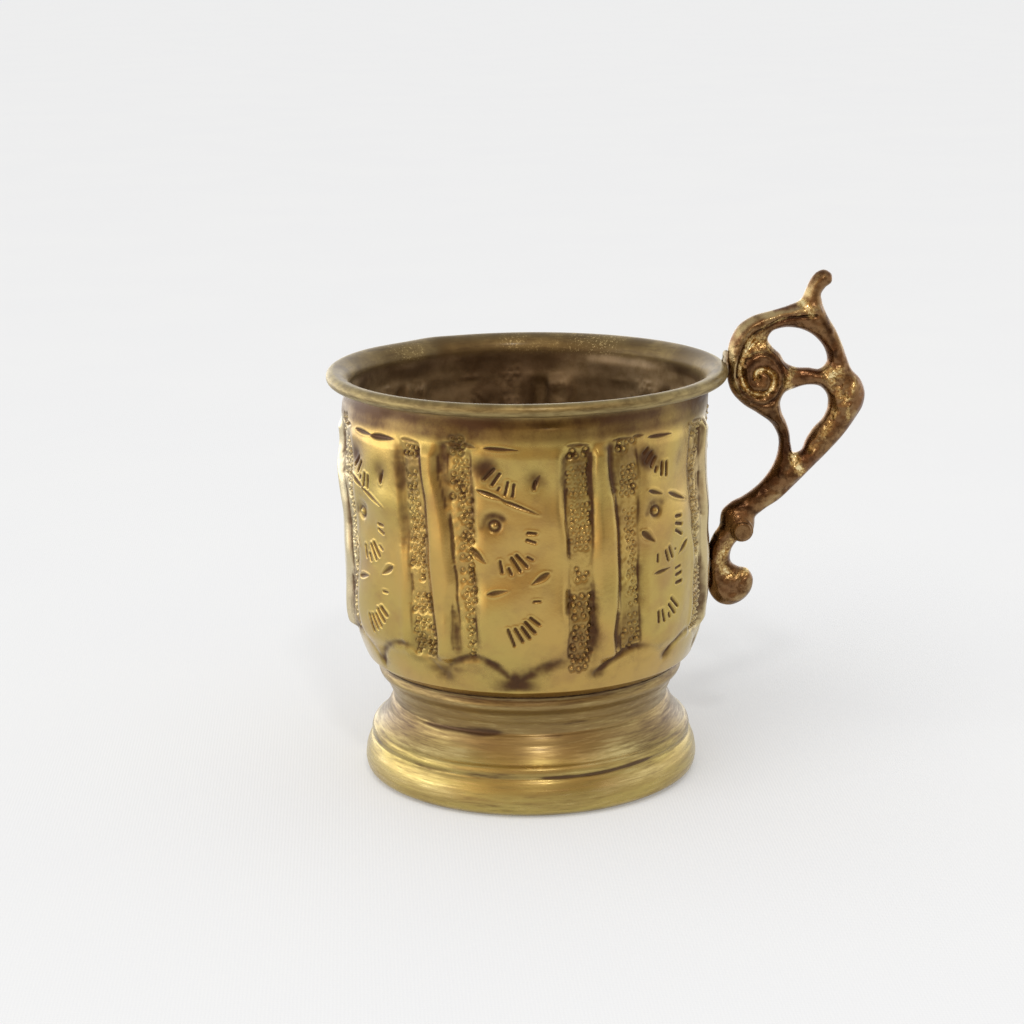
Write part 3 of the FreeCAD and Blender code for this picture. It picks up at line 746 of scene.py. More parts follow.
def cup_sections():
    """The sheet's outer and inner faces, from the axis out and back."""
    lip_centre = (RIM_RADIUS - BEAD, RIM_HEIGHT - LIP)
    bead_centre = (RIM_RADIUS - BEAD, RIM_HEIGHT - BEAD)
    bend_corner = CREASE[1] + 6.57
    lip_turn = arc(lip_centre, LIP - GAUGE, 180.0, 90.0, 14)
    curl = arc(bead_centre, BEAD - GAUGE, 90.0, CURL_END, 9)
    outer = [(0.0, SEAT_HEIGHT, 0.0), (SEAT_RADIUS, SEAT_HEIGHT, 0.5), (*CREASE, 0.55),
             (WALL, bend_corner, BOWL_BEND * 0.98), (WALL, WALL_TOP, 3.0), *lip_turn, *curl[1:]]
    bead = arc(bead_centre, BEAD, CURL_END, 90.0, 40)
    slope = arc(lip_centre, LIP, 90.0, 180.0, 24)
    inner = [*bead, *slope[1:], (WALL - GAUGE, WALL_TOP, 3.0), (WALL - GAUGE, bend_corner + 0.15, 32.0),
             (CREASE[0] - 0.6, CREASE[1] + 0.48, 1.0), (SEAT_RADIUS + 0.24, SEAT_HEIGHT + GAUGE, 1.0),
             (0.0, SEAT_HEIGHT + GAUGE, 0.0)]

    def outer_pitch(across, up):
        pitch = np.where(across < CREASE[0] - 2.5, 1.6, 0.2)
        return np.where(up > 73.5, 0.3, pitch)

    def inner_pitch(across, up):
        pitch = np.where(up > 76.0, 0.24, 0.42)
        return np.where(across < SEAT_RADIUS - 1.5, 1.2, pitch)

    return resampled(filleted(outer), outer_pitch), resampled(filleted(inner), inner_pitch)


def out_of_round(angle, up):
    """How far the spun cup strays outwards: an oval rim and a kink behind it."""
    rim = smooth((up - 68.0) / 9.0)[:, None]
    angle = angle[None, :]
    oval = 0.18 * np.cos(np.radians(2.0 * (angle - 35.0)))
    oval = oval + 0.1 * np.cos(np.radians(3.0 * angle + 50.0))
    kink = 0.55 * bell(wrapped(angle + 150.0), 5.0) - 0.6 * bell(wrapped(angle + 136.0), 9.0)
    belly = smooth((up - 52.0) / 8.0) * smooth((76.0 - up) / 6.0)
    lean = -0.35 * np.sin(np.radians(angle)) * belly[:, None]
    return rim * (oval + kink) + lean


def make_cup(wall):
    """The sheet's two faces: the wall's relief outside, and the same relief softened inside."""
    outer, inner = cup_sections()
    columns = wall_columns()
    through = 1.1 * blurred(wall.height, 2.4)
    # The inside's dirt, with painted shade: darker left of its back and lighter right of it.
    inside_dirt_and_shade = blurred(wall.dirt, 4.0)
    inside_dirt_and_shade += 0.5 * bell(wrapped(wall.angle + 172.0), 24.0)
    inside_dirt_and_shade -= 0.2 * bell(wrapped(wall.angle - 152.0), 14.0)
    places, counts = [], []
    attributes = {name: [] for name in ("dirt", "inside", "rim", "lip", "scoured", "painted_sheen")}

    def add_rows(section, angles, height_map, dirt_map, inside):
        """Rings of vertices at the section's points; a ring on the axis is one vertex."""
        across, up = section.T
        on_wall = (across > SEAT_RADIUS) * smooth((up - 23.9) / 1.0)
        relief = read_map(height_map, wall, angles, up) * on_wall[:, None]
        relief *= (1.0 - 2.0 * inside) * smooth((75.5 - up) / 2.0)[:, None]
        normals = section_normals(section)
        stray = out_of_round(angles, up) * np.clip(across / WALL, 0.0, 1.0)[:, None] ** 2
        radius = across[:, None] + relief * normals[:, :1] + stray
        rise = up[:, None] + relief * normals[:, 1:]
        turn = np.radians(angles + FACING)
        high = smooth((up - 74.5) / 2.0)
        slope = smooth((RIM_RADIUS - BEAD + 0.2 - across) / 0.7)
        masks = {"dirt": read_map(dirt_map, wall, angles, up) * on_wall[:, None],
                 "inside": float(inside),
                 "rim": smooth((up - 75.0) / 2.0)[:, None],
                 "lip": (inside * slope * high)[:, None],
                 "scoured": sum(much * bell(wrapped(angles - middle), wide)
                                for middle, wide, much in SCOURED),
                 "painted_sheen": sum(much * np.exp(-(wrapped(angles - middle) / wide) ** 4)
                             for middle, wide, much in PAINTED_SHEEN)}
        for row in range(len(section)):
            keep = 1 if across[row] < 1e-6 else len(angles)
            ring = [radius[row] * np.cos(turn), radius[row] * np.sin(turn), rise[row]]
            places.append(np.column_stack(ring)[:keep])
            counts.append(keep)
            for name, values in masks.items():
                attributes[name].append(np.broadcast_to(values, radius.shape)[row, :keep])

    add_rows(outer, columns, wall.height, wall.dirt, False)
    add_rows(inner, columns[::2], through, inside_dirt_and_shade, True)
    return make_piece("cup", np.vstack(places), lathe_faces(counts, True),
                      {name: np.concatenate(rows) for name, rows in attributes.items()})


# ------------------------------------------------------------------------- the foot
FOOT_STEP = 0.26
FOOT_COLUMNS = 400
LATHE_DEPTH = 0.018     # of the turning tool's fine lines


def foot_section():
    """The spun foot's closed section, with the turning tool's small steps."""
    top = FOOT_TOP
    corners = [(30.0, 0.9, 0.0), (28.6, 0.9, 0.2), (28.6, 0.0, 0.25), (30.2, 0.0, 1.2),
               (32.05, 1.1, 1.4), (BAND_RADIUS + 0.05, 2.9, 5.0), (31.9, 5.2, 6.0),
               (31.2, 6.8, 0.6), (30.8, 7.2, 0.5), (30.8, 7.7, 0.4), (31.0, 8.1, 0.7),
               (30.75, 9.2, 0.8), (29.9, 9.75, 1.2), (28.0, 11.9, 6.0), (26.95, 14.2, 1.0),
               (26.45, 14.5, 0.4), (26.75, 16.0, 5.0), (27.9, 18.8, 4.0), (29.05, 20.0, 0.8),
               (29.35, 20.8, 0.6), (29.1, 21.6, 0.4), (28.75, 22.0, 0.3), (SEAT_RADIUS, top, 0.1),
               (24.0, top, 0.2), (24.0, top - 0.9, 0.2), (28.1, top - 0.9, 0.6), (28.2, 20.0, 2.0),
               (25.7, 15.2, 4.0), (27.2, 11.4, 6.0), (29.3, 8.9, 1.0), (29.6, 7.4, 0.6),
               (31.2, 4.9, 4.0), (31.4, 2.4, 2.0), (30.4, 0.95, 0.5)]
    return resampled(filleted(corners), lambda across, up: np.full(np.shape(across), FOOT_STEP))


# Dark marks along the foot: soot in the turned lines, and painted shade in broad smears on its sides:
# (from angle, to angle, height, half its width, how much).
FOOT_SOOT_AND_SHADE = [
    (-112.0, -38.0, 11.6, 4.4, 0.62), (38.0, 112.0, 11.0, 4.4, 0.64), (110.0, 160.0, 12.4, 2.0, 0.3),
    (-170.0, -124.0, 12.6, 2.2, 0.3), (-36.0, 22.0, 2.6, 1.4, 0.22), (-49.0, -11.0, 14.5, 0.6, 0.95),
    (-16.0, 14.0, 14.0, 0.35, 0.5), (13.0, 24.0, 16.6, 0.3, 0.55), (34.0, 60.0, 15.6, 0.4, 0.4),
    (2.0, 66.0, 7.75, 0.34, 0.95), (-64.0, 4.0, 7.6, 0.55, 0.42), (28.0, 60.0, 5.2, 0.3, 0.2),
    (66.0, 128.0, 7.6, 0.5, 0.5), (74.0, 122.0, 14.3, 0.5, 0.7), (134.0, 178.0, 7.7, 0.4, 0.8),
    (150.0, 186.0, 14.4, 0.5, 0.6), (-176.0, -118.0, 7.6, 0.5, 0.5),
    (-140.0, -92.0, 14.4, 0.55, 0.75), (-110.0, -66.0, 7.7, 0.4, 0.7)]
# Painted highlights on the foot, in the same terms.
FOOT_HIGHLIGHTS = [(16.0, 48.0, 10.2, 1.1, 1.0), (-74.0, -26.0, 4.2, 1.7, 0.55),
               (22.0, 56.0, 5.4, 0.9, 0.7), (-60.0, -24.0, 10.2, 0.8, 0.5),
               (-160.0, -130.0, 4.4, 1.4, 0.6), (120.0, 150.0, 10.4, 0.9, 0.6)]


def foot_marks(marks, angles, ups):
    """Long marks along the turned lines. The narrower a mark, the more ragged it is."""
    mask = np.zeros((len(ups), len(angles)))
    ragged = clouds(mask.shape, 5.0, 71)
    for start, end, level, wide, much in marks:
        loose = min(1.0, 0.8 / wide) * ragged
        off = wrapped(angles - (start + end) / 2.0)
        ends = smooth(((end - start) / 2.0 - np.abs(off)) / (5.0 + 6.0 * wide) + 0.5)
        slope = level + 0.25 * np.sin(np.radians(5.0 * off))
        across = (ups[:, None] - slope[None, :]) / (wide * np.clip(1.0 + 0.3 * loose, 0.5, 1.6))
        strength = much * np.clip(0.95 + 0.2 * loose, 0.5, 1.1)
        mask = np.maximum(mask, strength * ends[None, :] * bell(across))
    return mask


def make_foot():
    """The foot, with the lathe's fine steps all the way round."""
    section = foot_section()
    normals = section_normals(section)
    draw = np.random.default_rng(31)
    marks = draw.normal(0.0, 1.0, len(section))
    marks = np.convolve(marks, [0.25, 0.5, 0.25], "same")
    angles = np.radians(np.arange(FOOT_COLUMNS) * 360.0 / FOOT_COLUMNS)
    lean = draw.uniform(0.0, 6.3, len(section))
    depth = LATHE_DEPTH * marks[:, None] * (1.0 + 0.5 * np.sin(angles[None, :] + lean[:, None]))
    radius = section[:, :1] + depth * normals[:, :1]
    rise = np.maximum(section[:, 1:] + depth * normals[:, 1:], 0.0)
    places = np.stack([radius * np.cos(angles), radius * np.sin(angles),
                       np.broadcast_to(rise, radius.shape)], -1).reshape(-1, 3)
    faces = lathe_faces([len(angles)] * len(section), False)
    facing = wrapped(np.degrees(angles) - FACING)
    return make_piece("foot", places, faces, {
        "soot_and_shade": foot_marks(FOOT_SOOT_AND_SHADE, facing, section[:, 1]).ravel(),
        "painted_highlight": foot_marks(FOOT_HIGHLIGHTS, facing, section[:, 1]).ravel()})


# ----------------------------------------------------------------------- the handle
# The casting's outline and its two windows, (across, up) in the plane of the handle.
CREST_AND_FINIAL = [(46.6, 88.2), (50.0, 89.2), (52.2, 90.2), (53.1, 92.0), (53.9, 93.8),
                    (55.1, 95.3), (56.6, 95.8), (58.0, 94.9), (58.0, 93.4), (56.8, 92.4),
                    (56.1, 91.3), (56.3, 89.7)]
RIGHT_ARM = [(57.3, 87.2), (58.9, 84.5), (60.2, 81.7), (61.2, 79.0), (62.2, 76.6)]
KNUCKLE = [(63.9, 74.7), (64.8, 72.2), (64.5, 69.7), (63.1, 67.2)]
LOWER_ARM = [(60.7, 63.8), (57.7, 60.5), (54.5, 57.3), (51.4, 54.2), (48.4, 51.4), (45.5, 49.5)]
BALL_RIGHT = [(43.8, 47.9), (43.6, 45.7), (42.1, 44.3), (40.2, 43.2)]
SCROLL = [(39.2, 41.2), (39.3, 39.4), (40.7, 38.3), (42.5, 37.8), (43.6, 36.1), (43.3, 33.6),
          (41.5, 31.5), (39.0, 30.6), (36.8, 31.2), (35.2, 33.2)]
BACK = [(34.85, 36.2), (34.75, 39.2), (34.9, 42.2), (35.9, 44.8)]
BALL_LEFT = [(37.2, 46.9), (37.5, 49.4), (39.2, 51.1), (41.4, 52.2)]
STEM = [(44.4, 54.4), (46.7, 57.2), (48.1, 60.4), (48.3, 63.6), (47.0, 66.3), (44.2, 68.5)]
VOLUTE_LEFT = [(41.2, 70.5), (39.1, 72.9), (38.25, 76.0), (38.25, 79.5), (38.9, 83.0),
               (40.5, 85.6), (43.2, 87.3)]
UPPER_WINDOW = [(46.0, 82.9), (46.9, 81.3), (48.3, 80.0), (49.4, 78.3), (51.3, 77.3), (53.9, 77.1),
                (56.2, 76.9), (57.4, 78.2), (57.1, 80.3), (56.0, 82.1), (54.2, 83.7), (51.5, 84.8),
                (48.6, 84.9), (46.7, 84.2)]
LOWER_WINDOW = [(48.6, 70.9), (48.8, 68.8), (49.7, 66.8), (50.4, 64.6), (50.7, 62.3), (51.3, 60.6),
                (52.5, 60.9), (53.6, 63.1), (55.0, 65.3), (56.7, 67.1), (57.7, 69.3), (57.5, 71.9),
                (56.2, 73.4), (53.7, 73.8), (51.2, 73.2), (49.4, 72.4)]
BALL, BALL_RADIUS = (40.5, 47.3), 3.35
BOSS, BOSS_RADIUS, BOSS_REACH = (41.0, 46.1), 1.75, 3.9
HALF_THICKNESS = 2.4
NET_PITCH = 0.16        # between the samples of the casting's and the solder's fields
PLAN_PITCH = 0.1
PLAN_LOW = np.array([33.6, 29.4])
PLAN_SIZE = (324, 672)
PLAN_REACH = 3.2        # how far from a line or an edge the maps are worked out


class Plan:
    """The handle seen from the side, as maps over its plane."""

    def __init__(self):
        self.across = PLAN_LOW[0] + PLAN_PITCH * np.arange(PLAN_SIZE[0])[:, None]
        self.up = PLAN_LOW[1] + PLAN_PITCH * np.arange(PLAN_SIZE[1])[None, :]

    def distance(self, line):
        """How far each sample is from a polyline, up to PLAN_REACH or so."""
        nearest = np.full(PLAN_SIZE, 1e9)
        for (ax, az), (bx, bz) in zip(line, line[1:]):
            i0 = int(max(0, (min(ax, bx) - PLAN_REACH - PLAN_LOW[0]) / PLAN_PITCH))
            i1 = int((max(ax, bx) + PLAN_REACH - PLAN_LOW[0]) / PLAN_PITCH) + 1
            j0 = int(max(0, (min(az, bz) - PLAN_REACH - PLAN_LOW[1]) / PLAN_PITCH))
            j1 = int((max(az, bz) + PLAN_REACH - PLAN_LOW[1]) / PLAN_PITCH) + 1
            x, z = self.across[i0:i1] - ax, self.up[:, j0:j1] - az
            run_x, run_z = bx - ax, bz - az
            share = np.clip((x * run_x + z * run_z) / (run_x ** 2 + run_z ** 2 + 1e-12), 0.0, 1.0)
            off = np.hypot(x - share * run_x, z - share * run_z)
            nearest[i0:i1, j0:j1] = np.minimum(nearest[i0:i1, j0:j1], off)
        return nearest

    def inside(self, loop):
        """Which samples a closed polyline goes round."""
        odd = np.zeros(PLAN_SIZE, bool)
        for (ax, az), (bx, bz) in zip(loop, np.roll(loop, -1, 0)):
            rows = (self.up[0] >= min(az, bz)) & (self.up[0] < max(az, bz))
            if rows.any():
                crossing = ax + (self.up[0, rows] - az) * (bx - ax) / (bz - az)
                odd[:, rows] ^= self.across < crossing[None, :]
        return odd

    def line(self, points, wide):
        """1 on a smooth line, falling off to both sides."""
        return bell(self.distance(smooth_line(points)), wide)

    def spot(self, place, wide):
        """1 at a place, falling off all round it."""
        return bell(np.hypot(self.across - place[0], self.up - place[1]), wide)

    def strongest(self, lines, spots=()):
        """The strongest mark at each sample, from (line or place, width, how much)."""
        marks = [much * self.line(points, wide) for points, wide, much in lines]
        marks += [much * self.spot(place, wide) for place, wide, much in spots]
        return np.max(marks, axis=0)

    def read(self, grid, places):
        """A map's values at (across, up) places."""
        i = np.clip((places[:, 0] - PLAN_LOW[0]) / PLAN_PITCH, 0, PLAN_SIZE[0] - 1.001)
        j = np.clip((places[:, 1] - PLAN_LOW[1]) / PLAN_PITCH, 0, PLAN_SIZE[1] - 1.001)
        i0, j0 = i.astype(int), j.astype(int)
        di, dj = i - i0, j - j0
        return ((grid[i0, j0] * (1 - di) + grid[i0 + 1, j0] * di) * (1 - dj)
                + (grid[i0, j0 + 1] * (1 - di) + grid[i0 + 1, j0 + 1] * di) * dj)


# Lines on the casting's face, in the same plane: ridges, cuts, and where gold, soot and
# wear lie, and painted glints, highlights and shade.
SPIRAL = [(43.5, 82.6), (41.7, 80.9), (40.8, 78.4), (40.8, 75.7), (42.0, 73.4), (44.1, 72.4),
          (46.1, 73.0), (47.0, 74.8), (46.5, 76.5), (45.0, 77.2), (43.8, 76.8), (43.5, 75.7)]
SPIRAL_CREST = [(45.6, 79.9), (43.6, 79.3), (42.2, 77.8), (41.9, 75.8), (42.8, 74.1), (44.5, 73.4),
                (45.7, 74.4), (45.6, 75.7)]
DISC_EDGE = [(41.9, 79.7), (44.3, 80.5), (46.7, 79.6), (48.3, 77.3), (48.7, 74.7), (47.7, 72.1),
             (45.5, 70.6), (43.0, 70.9)]
DISC_RIM = [(45.6, 82.0), (47.6, 80.4), (49.3, 78.0), (49.9, 75.3), (49.3, 72.6), (47.8, 70.4)]
ARM_RIB = [(55.2, 88.9), (52.5, 88.6), (49.0, 88.1), (46.0, 87.1), (43.2, 85.8), (41.1, 83.7),
           (39.8, 81.0), (39.3, 78.0), (39.4, 75.2), (40.6, 72.6)]
ARM_LINE = [(54.9, 87.3), (52.3, 87.2), (49.2, 86.9), (47.0, 86.2), (45.3, 85.3), (43.2, 84.1),
            (41.6, 82.4), (40.7, 80.2), (40.1, 78.2), (40.0, 76.0)]
KNUCKLE_RIDGE = [(62.6, 75.1), (61.8, 72.6), (61.3, 69.6), (61.2, 67.2)]
KNUCKLE_CUT = [(57.4, 76.0), (58.6, 74.3), (60.0, 72.6), (60.9, 71.2)]
WINDOW_GOLD = [(58.7, 68.7), (57.6, 65.8), (55.8, 63.4), (54.0, 61.5)]
CROTCH = [(51.0, 60.0), (51.4, 58.4), (52.3, 57.4)]
SCROLL_GOLD = [(38.9, 43.9), (37.6, 41.8), (37.2, 39.6), (38.0, 37.8), (39.6, 36.9), (41.9, 37.5)]
SCROLL_BACK = [(36.4, 44.0), (35.6, 41.0), (35.6, 37.0), (36.6, 34.2), (38.6, 32.6), (41.5, 32.9)]
SCROLL_EYE = [(41.6, 36.6), (40.6, 35.2), (41.4, 33.9)]
STRUT_GOLD = [(50.6, 77.2), (49.8, 75.4), (50.2, 73.0)]
CREST_GOLD = [(52.0, 89.9), (53.2, 88.8), (53.9, 87.9)]
FINIAL_GOLD = [(54.6, 93.6), (55.8, 94.6), (57.2, 93.9)]
ARM_GLINT = [(44.6, 85.4), (48.0, 86.8), (51.6, 87.6)]
STEM_SHADE = [(46.4, 69.0), (48.6, 65.8), (49.4, 62.0), (49.0, 58.6), (46.2, 54.6), (43.4, 52.4)]
ARM_SHADE = [(56.4, 86.6), (57.8, 83.0), (58.6, 79.8)]
DISC_SHADE = [(40.6, 73.8), (42.4, 71.6), (44.8, 70.2), (46.8, 70.0)]
BALL_SHADE = [(37.4, 46.4), (38.4, 49.8), (41.4, 51.0), (43.8, 49.2)]
RIGHT_EDGE = [(57.9, 86.2), (59.9, 81.6), (61.6, 77.4)]
UNDER_EDGE = [(62.6, 68.6), (58.8, 63.4), (54.6, 58.8), (50.4, 54.8), (46.0, 51.0)]
FINIAL_EDGE = [(53.6, 91.6), (54.9, 94.2), (56.4, 95.2)]
CREST_EDGE = [(38.7, 78.6), (39.1, 82.2), (40.6, 85.0), (43.2, 86.8), (46.6, 87.9)]
SCROLL_GLINT = [(40.4, 32.6), (42.2, 34.0), (42.8, 35.8)]

# The relief on the casting's face, (line or place, width, millimetres up or down).
LIFTED_LINES = [
    (ARM_RIB, 0.95, 0.35), (ARM_LINE, 0.38, -0.42), (SPIRAL, 0.72, -0.85),
    (SPIRAL_CREST, 0.8, 0.25), (DISC_EDGE, 0.35, -0.3), (DISC_RIM, 0.7, 0.3),
    (KNUCKLE_RIDGE, 0.8, 0.28), (KNUCKLE_CUT, 0.9, -0.45), (WINDOW_GOLD, 0.7, -0.3),
    (CROTCH, 0.8, -0.45), (SCROLL_GOLD, 0.85, -0.38), (SCROLL_BACK, 1.0, 0.2),
    (SCROLL_EYE, 0.45, -0.3)]
LIFTED_SPOTS = [((44.2, 82.9), 1.6, -0.5), ((52.5, 75.4), 1.9, -0.35),
                ((62.3, 72.0), 2.3, 0.55), ((53.9, 88.9), 0.9, -0.28)]
# Where gold, soot and wear lie on it, with painted glints, highlights and shade, (line or place, width,
# how much).
GOLD_LINES = [
    (SPIRAL, 0.62, 1.5), (KNUCKLE_CUT, 1.15, 1.35), (CROTCH, 1.0, 1.6), (WINDOW_GOLD, 0.95, 0.7),
    (SCROLL_GOLD, 1.1, 1.15), (KNUCKLE_RIDGE, 0.5, 0.95), (DISC_RIM, 0.5, 0.4),
    (STRUT_GOLD, 0.95, 1.1), (CREST_GOLD, 0.9, 1.1), (FINIAL_GOLD, 0.7, 0.35),
    (ARM_GLINT, 0.3, 0.8)]
GOLD_SPOTS = [((43.6, 82.6), 2.0, 1.45), ((46.2, 81.2), 1.4, 0.75),
              ((58.4, 76.0), 1.9, 1.3), ((41.9, 80.2), 1.2, 0.9)]
# Soot in the cuts and along the back, and painted shade on the stem, arm, disc and ball.
SOOT_AND_SHADE_LINES = [
    (ARM_LINE, 0.45, 1.0), (DISC_EDGE, 0.45, 0.8), (SPIRAL_CREST, 0.8, 0.5), (BACK, 1.0, 0.6),
    (STEM_SHADE, 1.3, 0.75), (ARM_SHADE, 1.2, 0.6), (DISC_SHADE, 0.7, 0.7),
    (BALL_SHADE, 0.7, 0.7)]
# Wear on the arm's rib and edges, with painted highlights on the crest's and finial's edges and a
# painted glint on the scroll.
WEAR_AND_HIGHLIGHT_LINES = [
    (ARM_RIB, 0.6, 0.68), (RIGHT_EDGE, 0.6, 0.42), (UNDER_EDGE, 0.9, 0.38),
    (FINIAL_EDGE, 0.9, 0.9), (CREST_EDGE, 0.6, 0.8), (SCROLL_GLINT, 1.0, 0.5)]


def plan_handle():
    """The outline's inner distance, the relief on top of it and the colour masks."""
    plan = Plan()
    outline = smooth_loop(CREST_AND_FINIAL + RIGHT_ARM + KNUCKLE + LOWER_ARM + BALL_RIGHT
                          + SCROLL + BACK + BALL_LEFT + STEM + VOLUTE_LEFT)
    loops = [outline, smooth_loop(UPPER_WINDOW), smooth_loop(LOWER_WINDOW)]
    metal = plan.inside(loops[0]) & ~plan.inside(loops[1]) & ~plan.inside(loops[2])
    nearest = np.full(PLAN_SIZE, PLAN_REACH)
    for loop in loops:
        nearest = np.minimum(nearest, plan.distance(np.vstack([loop, loop[:1]])))
    plan.depth = np.where(metal, nearest, -nearest)
    core = np.maximum(plan.depth, 0.0)
    eased = blurred(core, 4.5)
    plan.core = core + (np.minimum(eased, core) - core) * smooth((core - 0.4) / 0.8)

    plan.lift = 0.07 * clouds(PLAN_SIZE, 4.0, 51) + 0.08 * clouds(PLAN_SIZE, 11.0, 52)
    for points, wide, much in LIFTED_LINES:
        plan.lift += much * plan.line(points, wide)
    for place, wide, much in LIFTED_SPOTS:
        plan.lift += much * plan.spot(place, wide)

    grains = clouds(PLAN_SIZE, 1.7, 61)
    plan.gold = plan.strongest(GOLD_LINES, GOLD_SPOTS)
    plan.lift += 0.07 * np.clip(grains, -1.5, 1.5) * np.clip(plan.gold, 0.0, 1.0)
    plan.gold *= np.clip(0.72 + 0.16 * grains + 0.24 * clouds(PLAN_SIZE, 6.0, 62), 0.0, 1.2)
    plan.soot_and_shade = plan.strongest(SOOT_AND_SHADE_LINES)
    plan.worn = plan.strongest(WEAR_AND_HIGHLIGHT_LINES)
    plan.worn *= np.clip(0.75 + 0.25 * clouds(PLAN_SIZE, 9.0, 63), 0.2, 1.1)
    return plan


def merged(one, two, blend):
    """The smooth union of two fields."""
    share = np.clip(0.5 + 0.5 * (two - one) / blend, 0.0, 1.0)
    return two + (one - two) * share - blend * share * (1.0 - share)


def make_handle():
    """The casting: its plan swelled to a round section, with the ball and the boss."""
    plan = plan_handle()
    low = np.array([34.0, -4.6, 29.8])
    across, deep, up = (start + NET_PITCH * np.arange(count)
                        for start, count in zip(low, (200, 53, 417)))
    grid = np.column_stack([g.ravel() for g in np.meshgrid(across, up, indexing="ij")])

    def sampled(values):
        """One of the plan's maps at the field's own samples."""
        return plan.read(values, grid).reshape(len(across), len(up))

    depth, core, lift = sampled(plan.depth), sampled(plan.core), sampled(plan.lift)
    taper = 1.0 - 0.3 * np.clip((up[None, :] - 88.0) / 7.0, 0.0, 1.0)
    half = HALF_THICKNESS * taper
    inner = np.minimum(core, half)
    height = np.sqrt(np.maximum(2.0 * half * inner - inner ** 2, 0.0))
    relief = lift * smooth((depth - 0.25) / 0.7)
    near_edge = smooth(depth / 0.3)
    edge_square = 2.0 * half * depth
    square = np.maximum(height + relief, 0.05) ** 2 * near_edge + edge_square * (1.0 - near_edge)
    y = deep[None, :, None]
    square = square[:, None, :]
    field = (y ** 2 - square) / (np.sqrt(y ** 2 + np.abs(square)) + 0.6)

    x, z = across[:, None, None], up[None, None, :]
    ball = np.sqrt((x - BALL[0]) ** 2 + y ** 2 + (z - BALL[1]) ** 2) - BALL_RADIUS
    field = merged(field, ball, 0.5)
    off = np.hypot(x - BOSS[0], z - BOSS[1])
    beside, ahead = off - BOSS_RADIUS, np.abs(y + BOSS_REACH / 2.0) - BOSS_REACH / 2.0
    boss = np.maximum(np.maximum(beside, ahead), (beside + ahead) * math.sqrt(0.5) + 0.18)
    field = merged(field, boss, 0.3)
    collar = np.hypot(np.maximum(0.0, off - BOSS_RADIUS - 0.1), y + 2.9) - 0.35
    field = merged(field, collar, 0.25)

    places, faces = surface_net(field, low, NET_PITCH)
    flat = places[:, [0, 2]]
    masks = {name: plan.read(getattr(plan, name), flat) for name in ("gold", "soot_and_shade", "worn")}
    return make_piece("scroll_handle", places, faces, masks)


# ----------------------------------------------------------------------- the solder
def make_solder(name, centre, half, seed):
    """A lumpy blob of solder that fills the crevice behind the handle."""
    margin = 0.6
    low = np.array(centre) - half - margin
    counts = np.ceil(2.0 * (np.array(half) + margin) / NET_PITCH).astype(int) + 1
    axes = [start + NET_PITCH * np.arange(count) for start, count in zip(low, counts)]
    x, y, z = np.meshgrid(*axes, indexing="ij")
    draw = np.random.default_rng(seed)
    lumps = 0.0
    for _ in range(7):
        wave = draw.uniform(0.05, 0.12)
        for along in (x, y, z):
            wave = wave * np.sin(draw.uniform(0.8, 2.4) * along + draw.uniform(0.0, 6.0))
        lumps = lumps + wave
    off = np.sqrt(sum(((along - middle) / reach) ** 2
                      for along, middle, reach in zip((x, y, z), centre, half)))
    places, faces = surface_net((off - 1.0) * min(half) + 0.8 * lumps, low, NET_PITCH)
    return make_piece(name, places, faces)


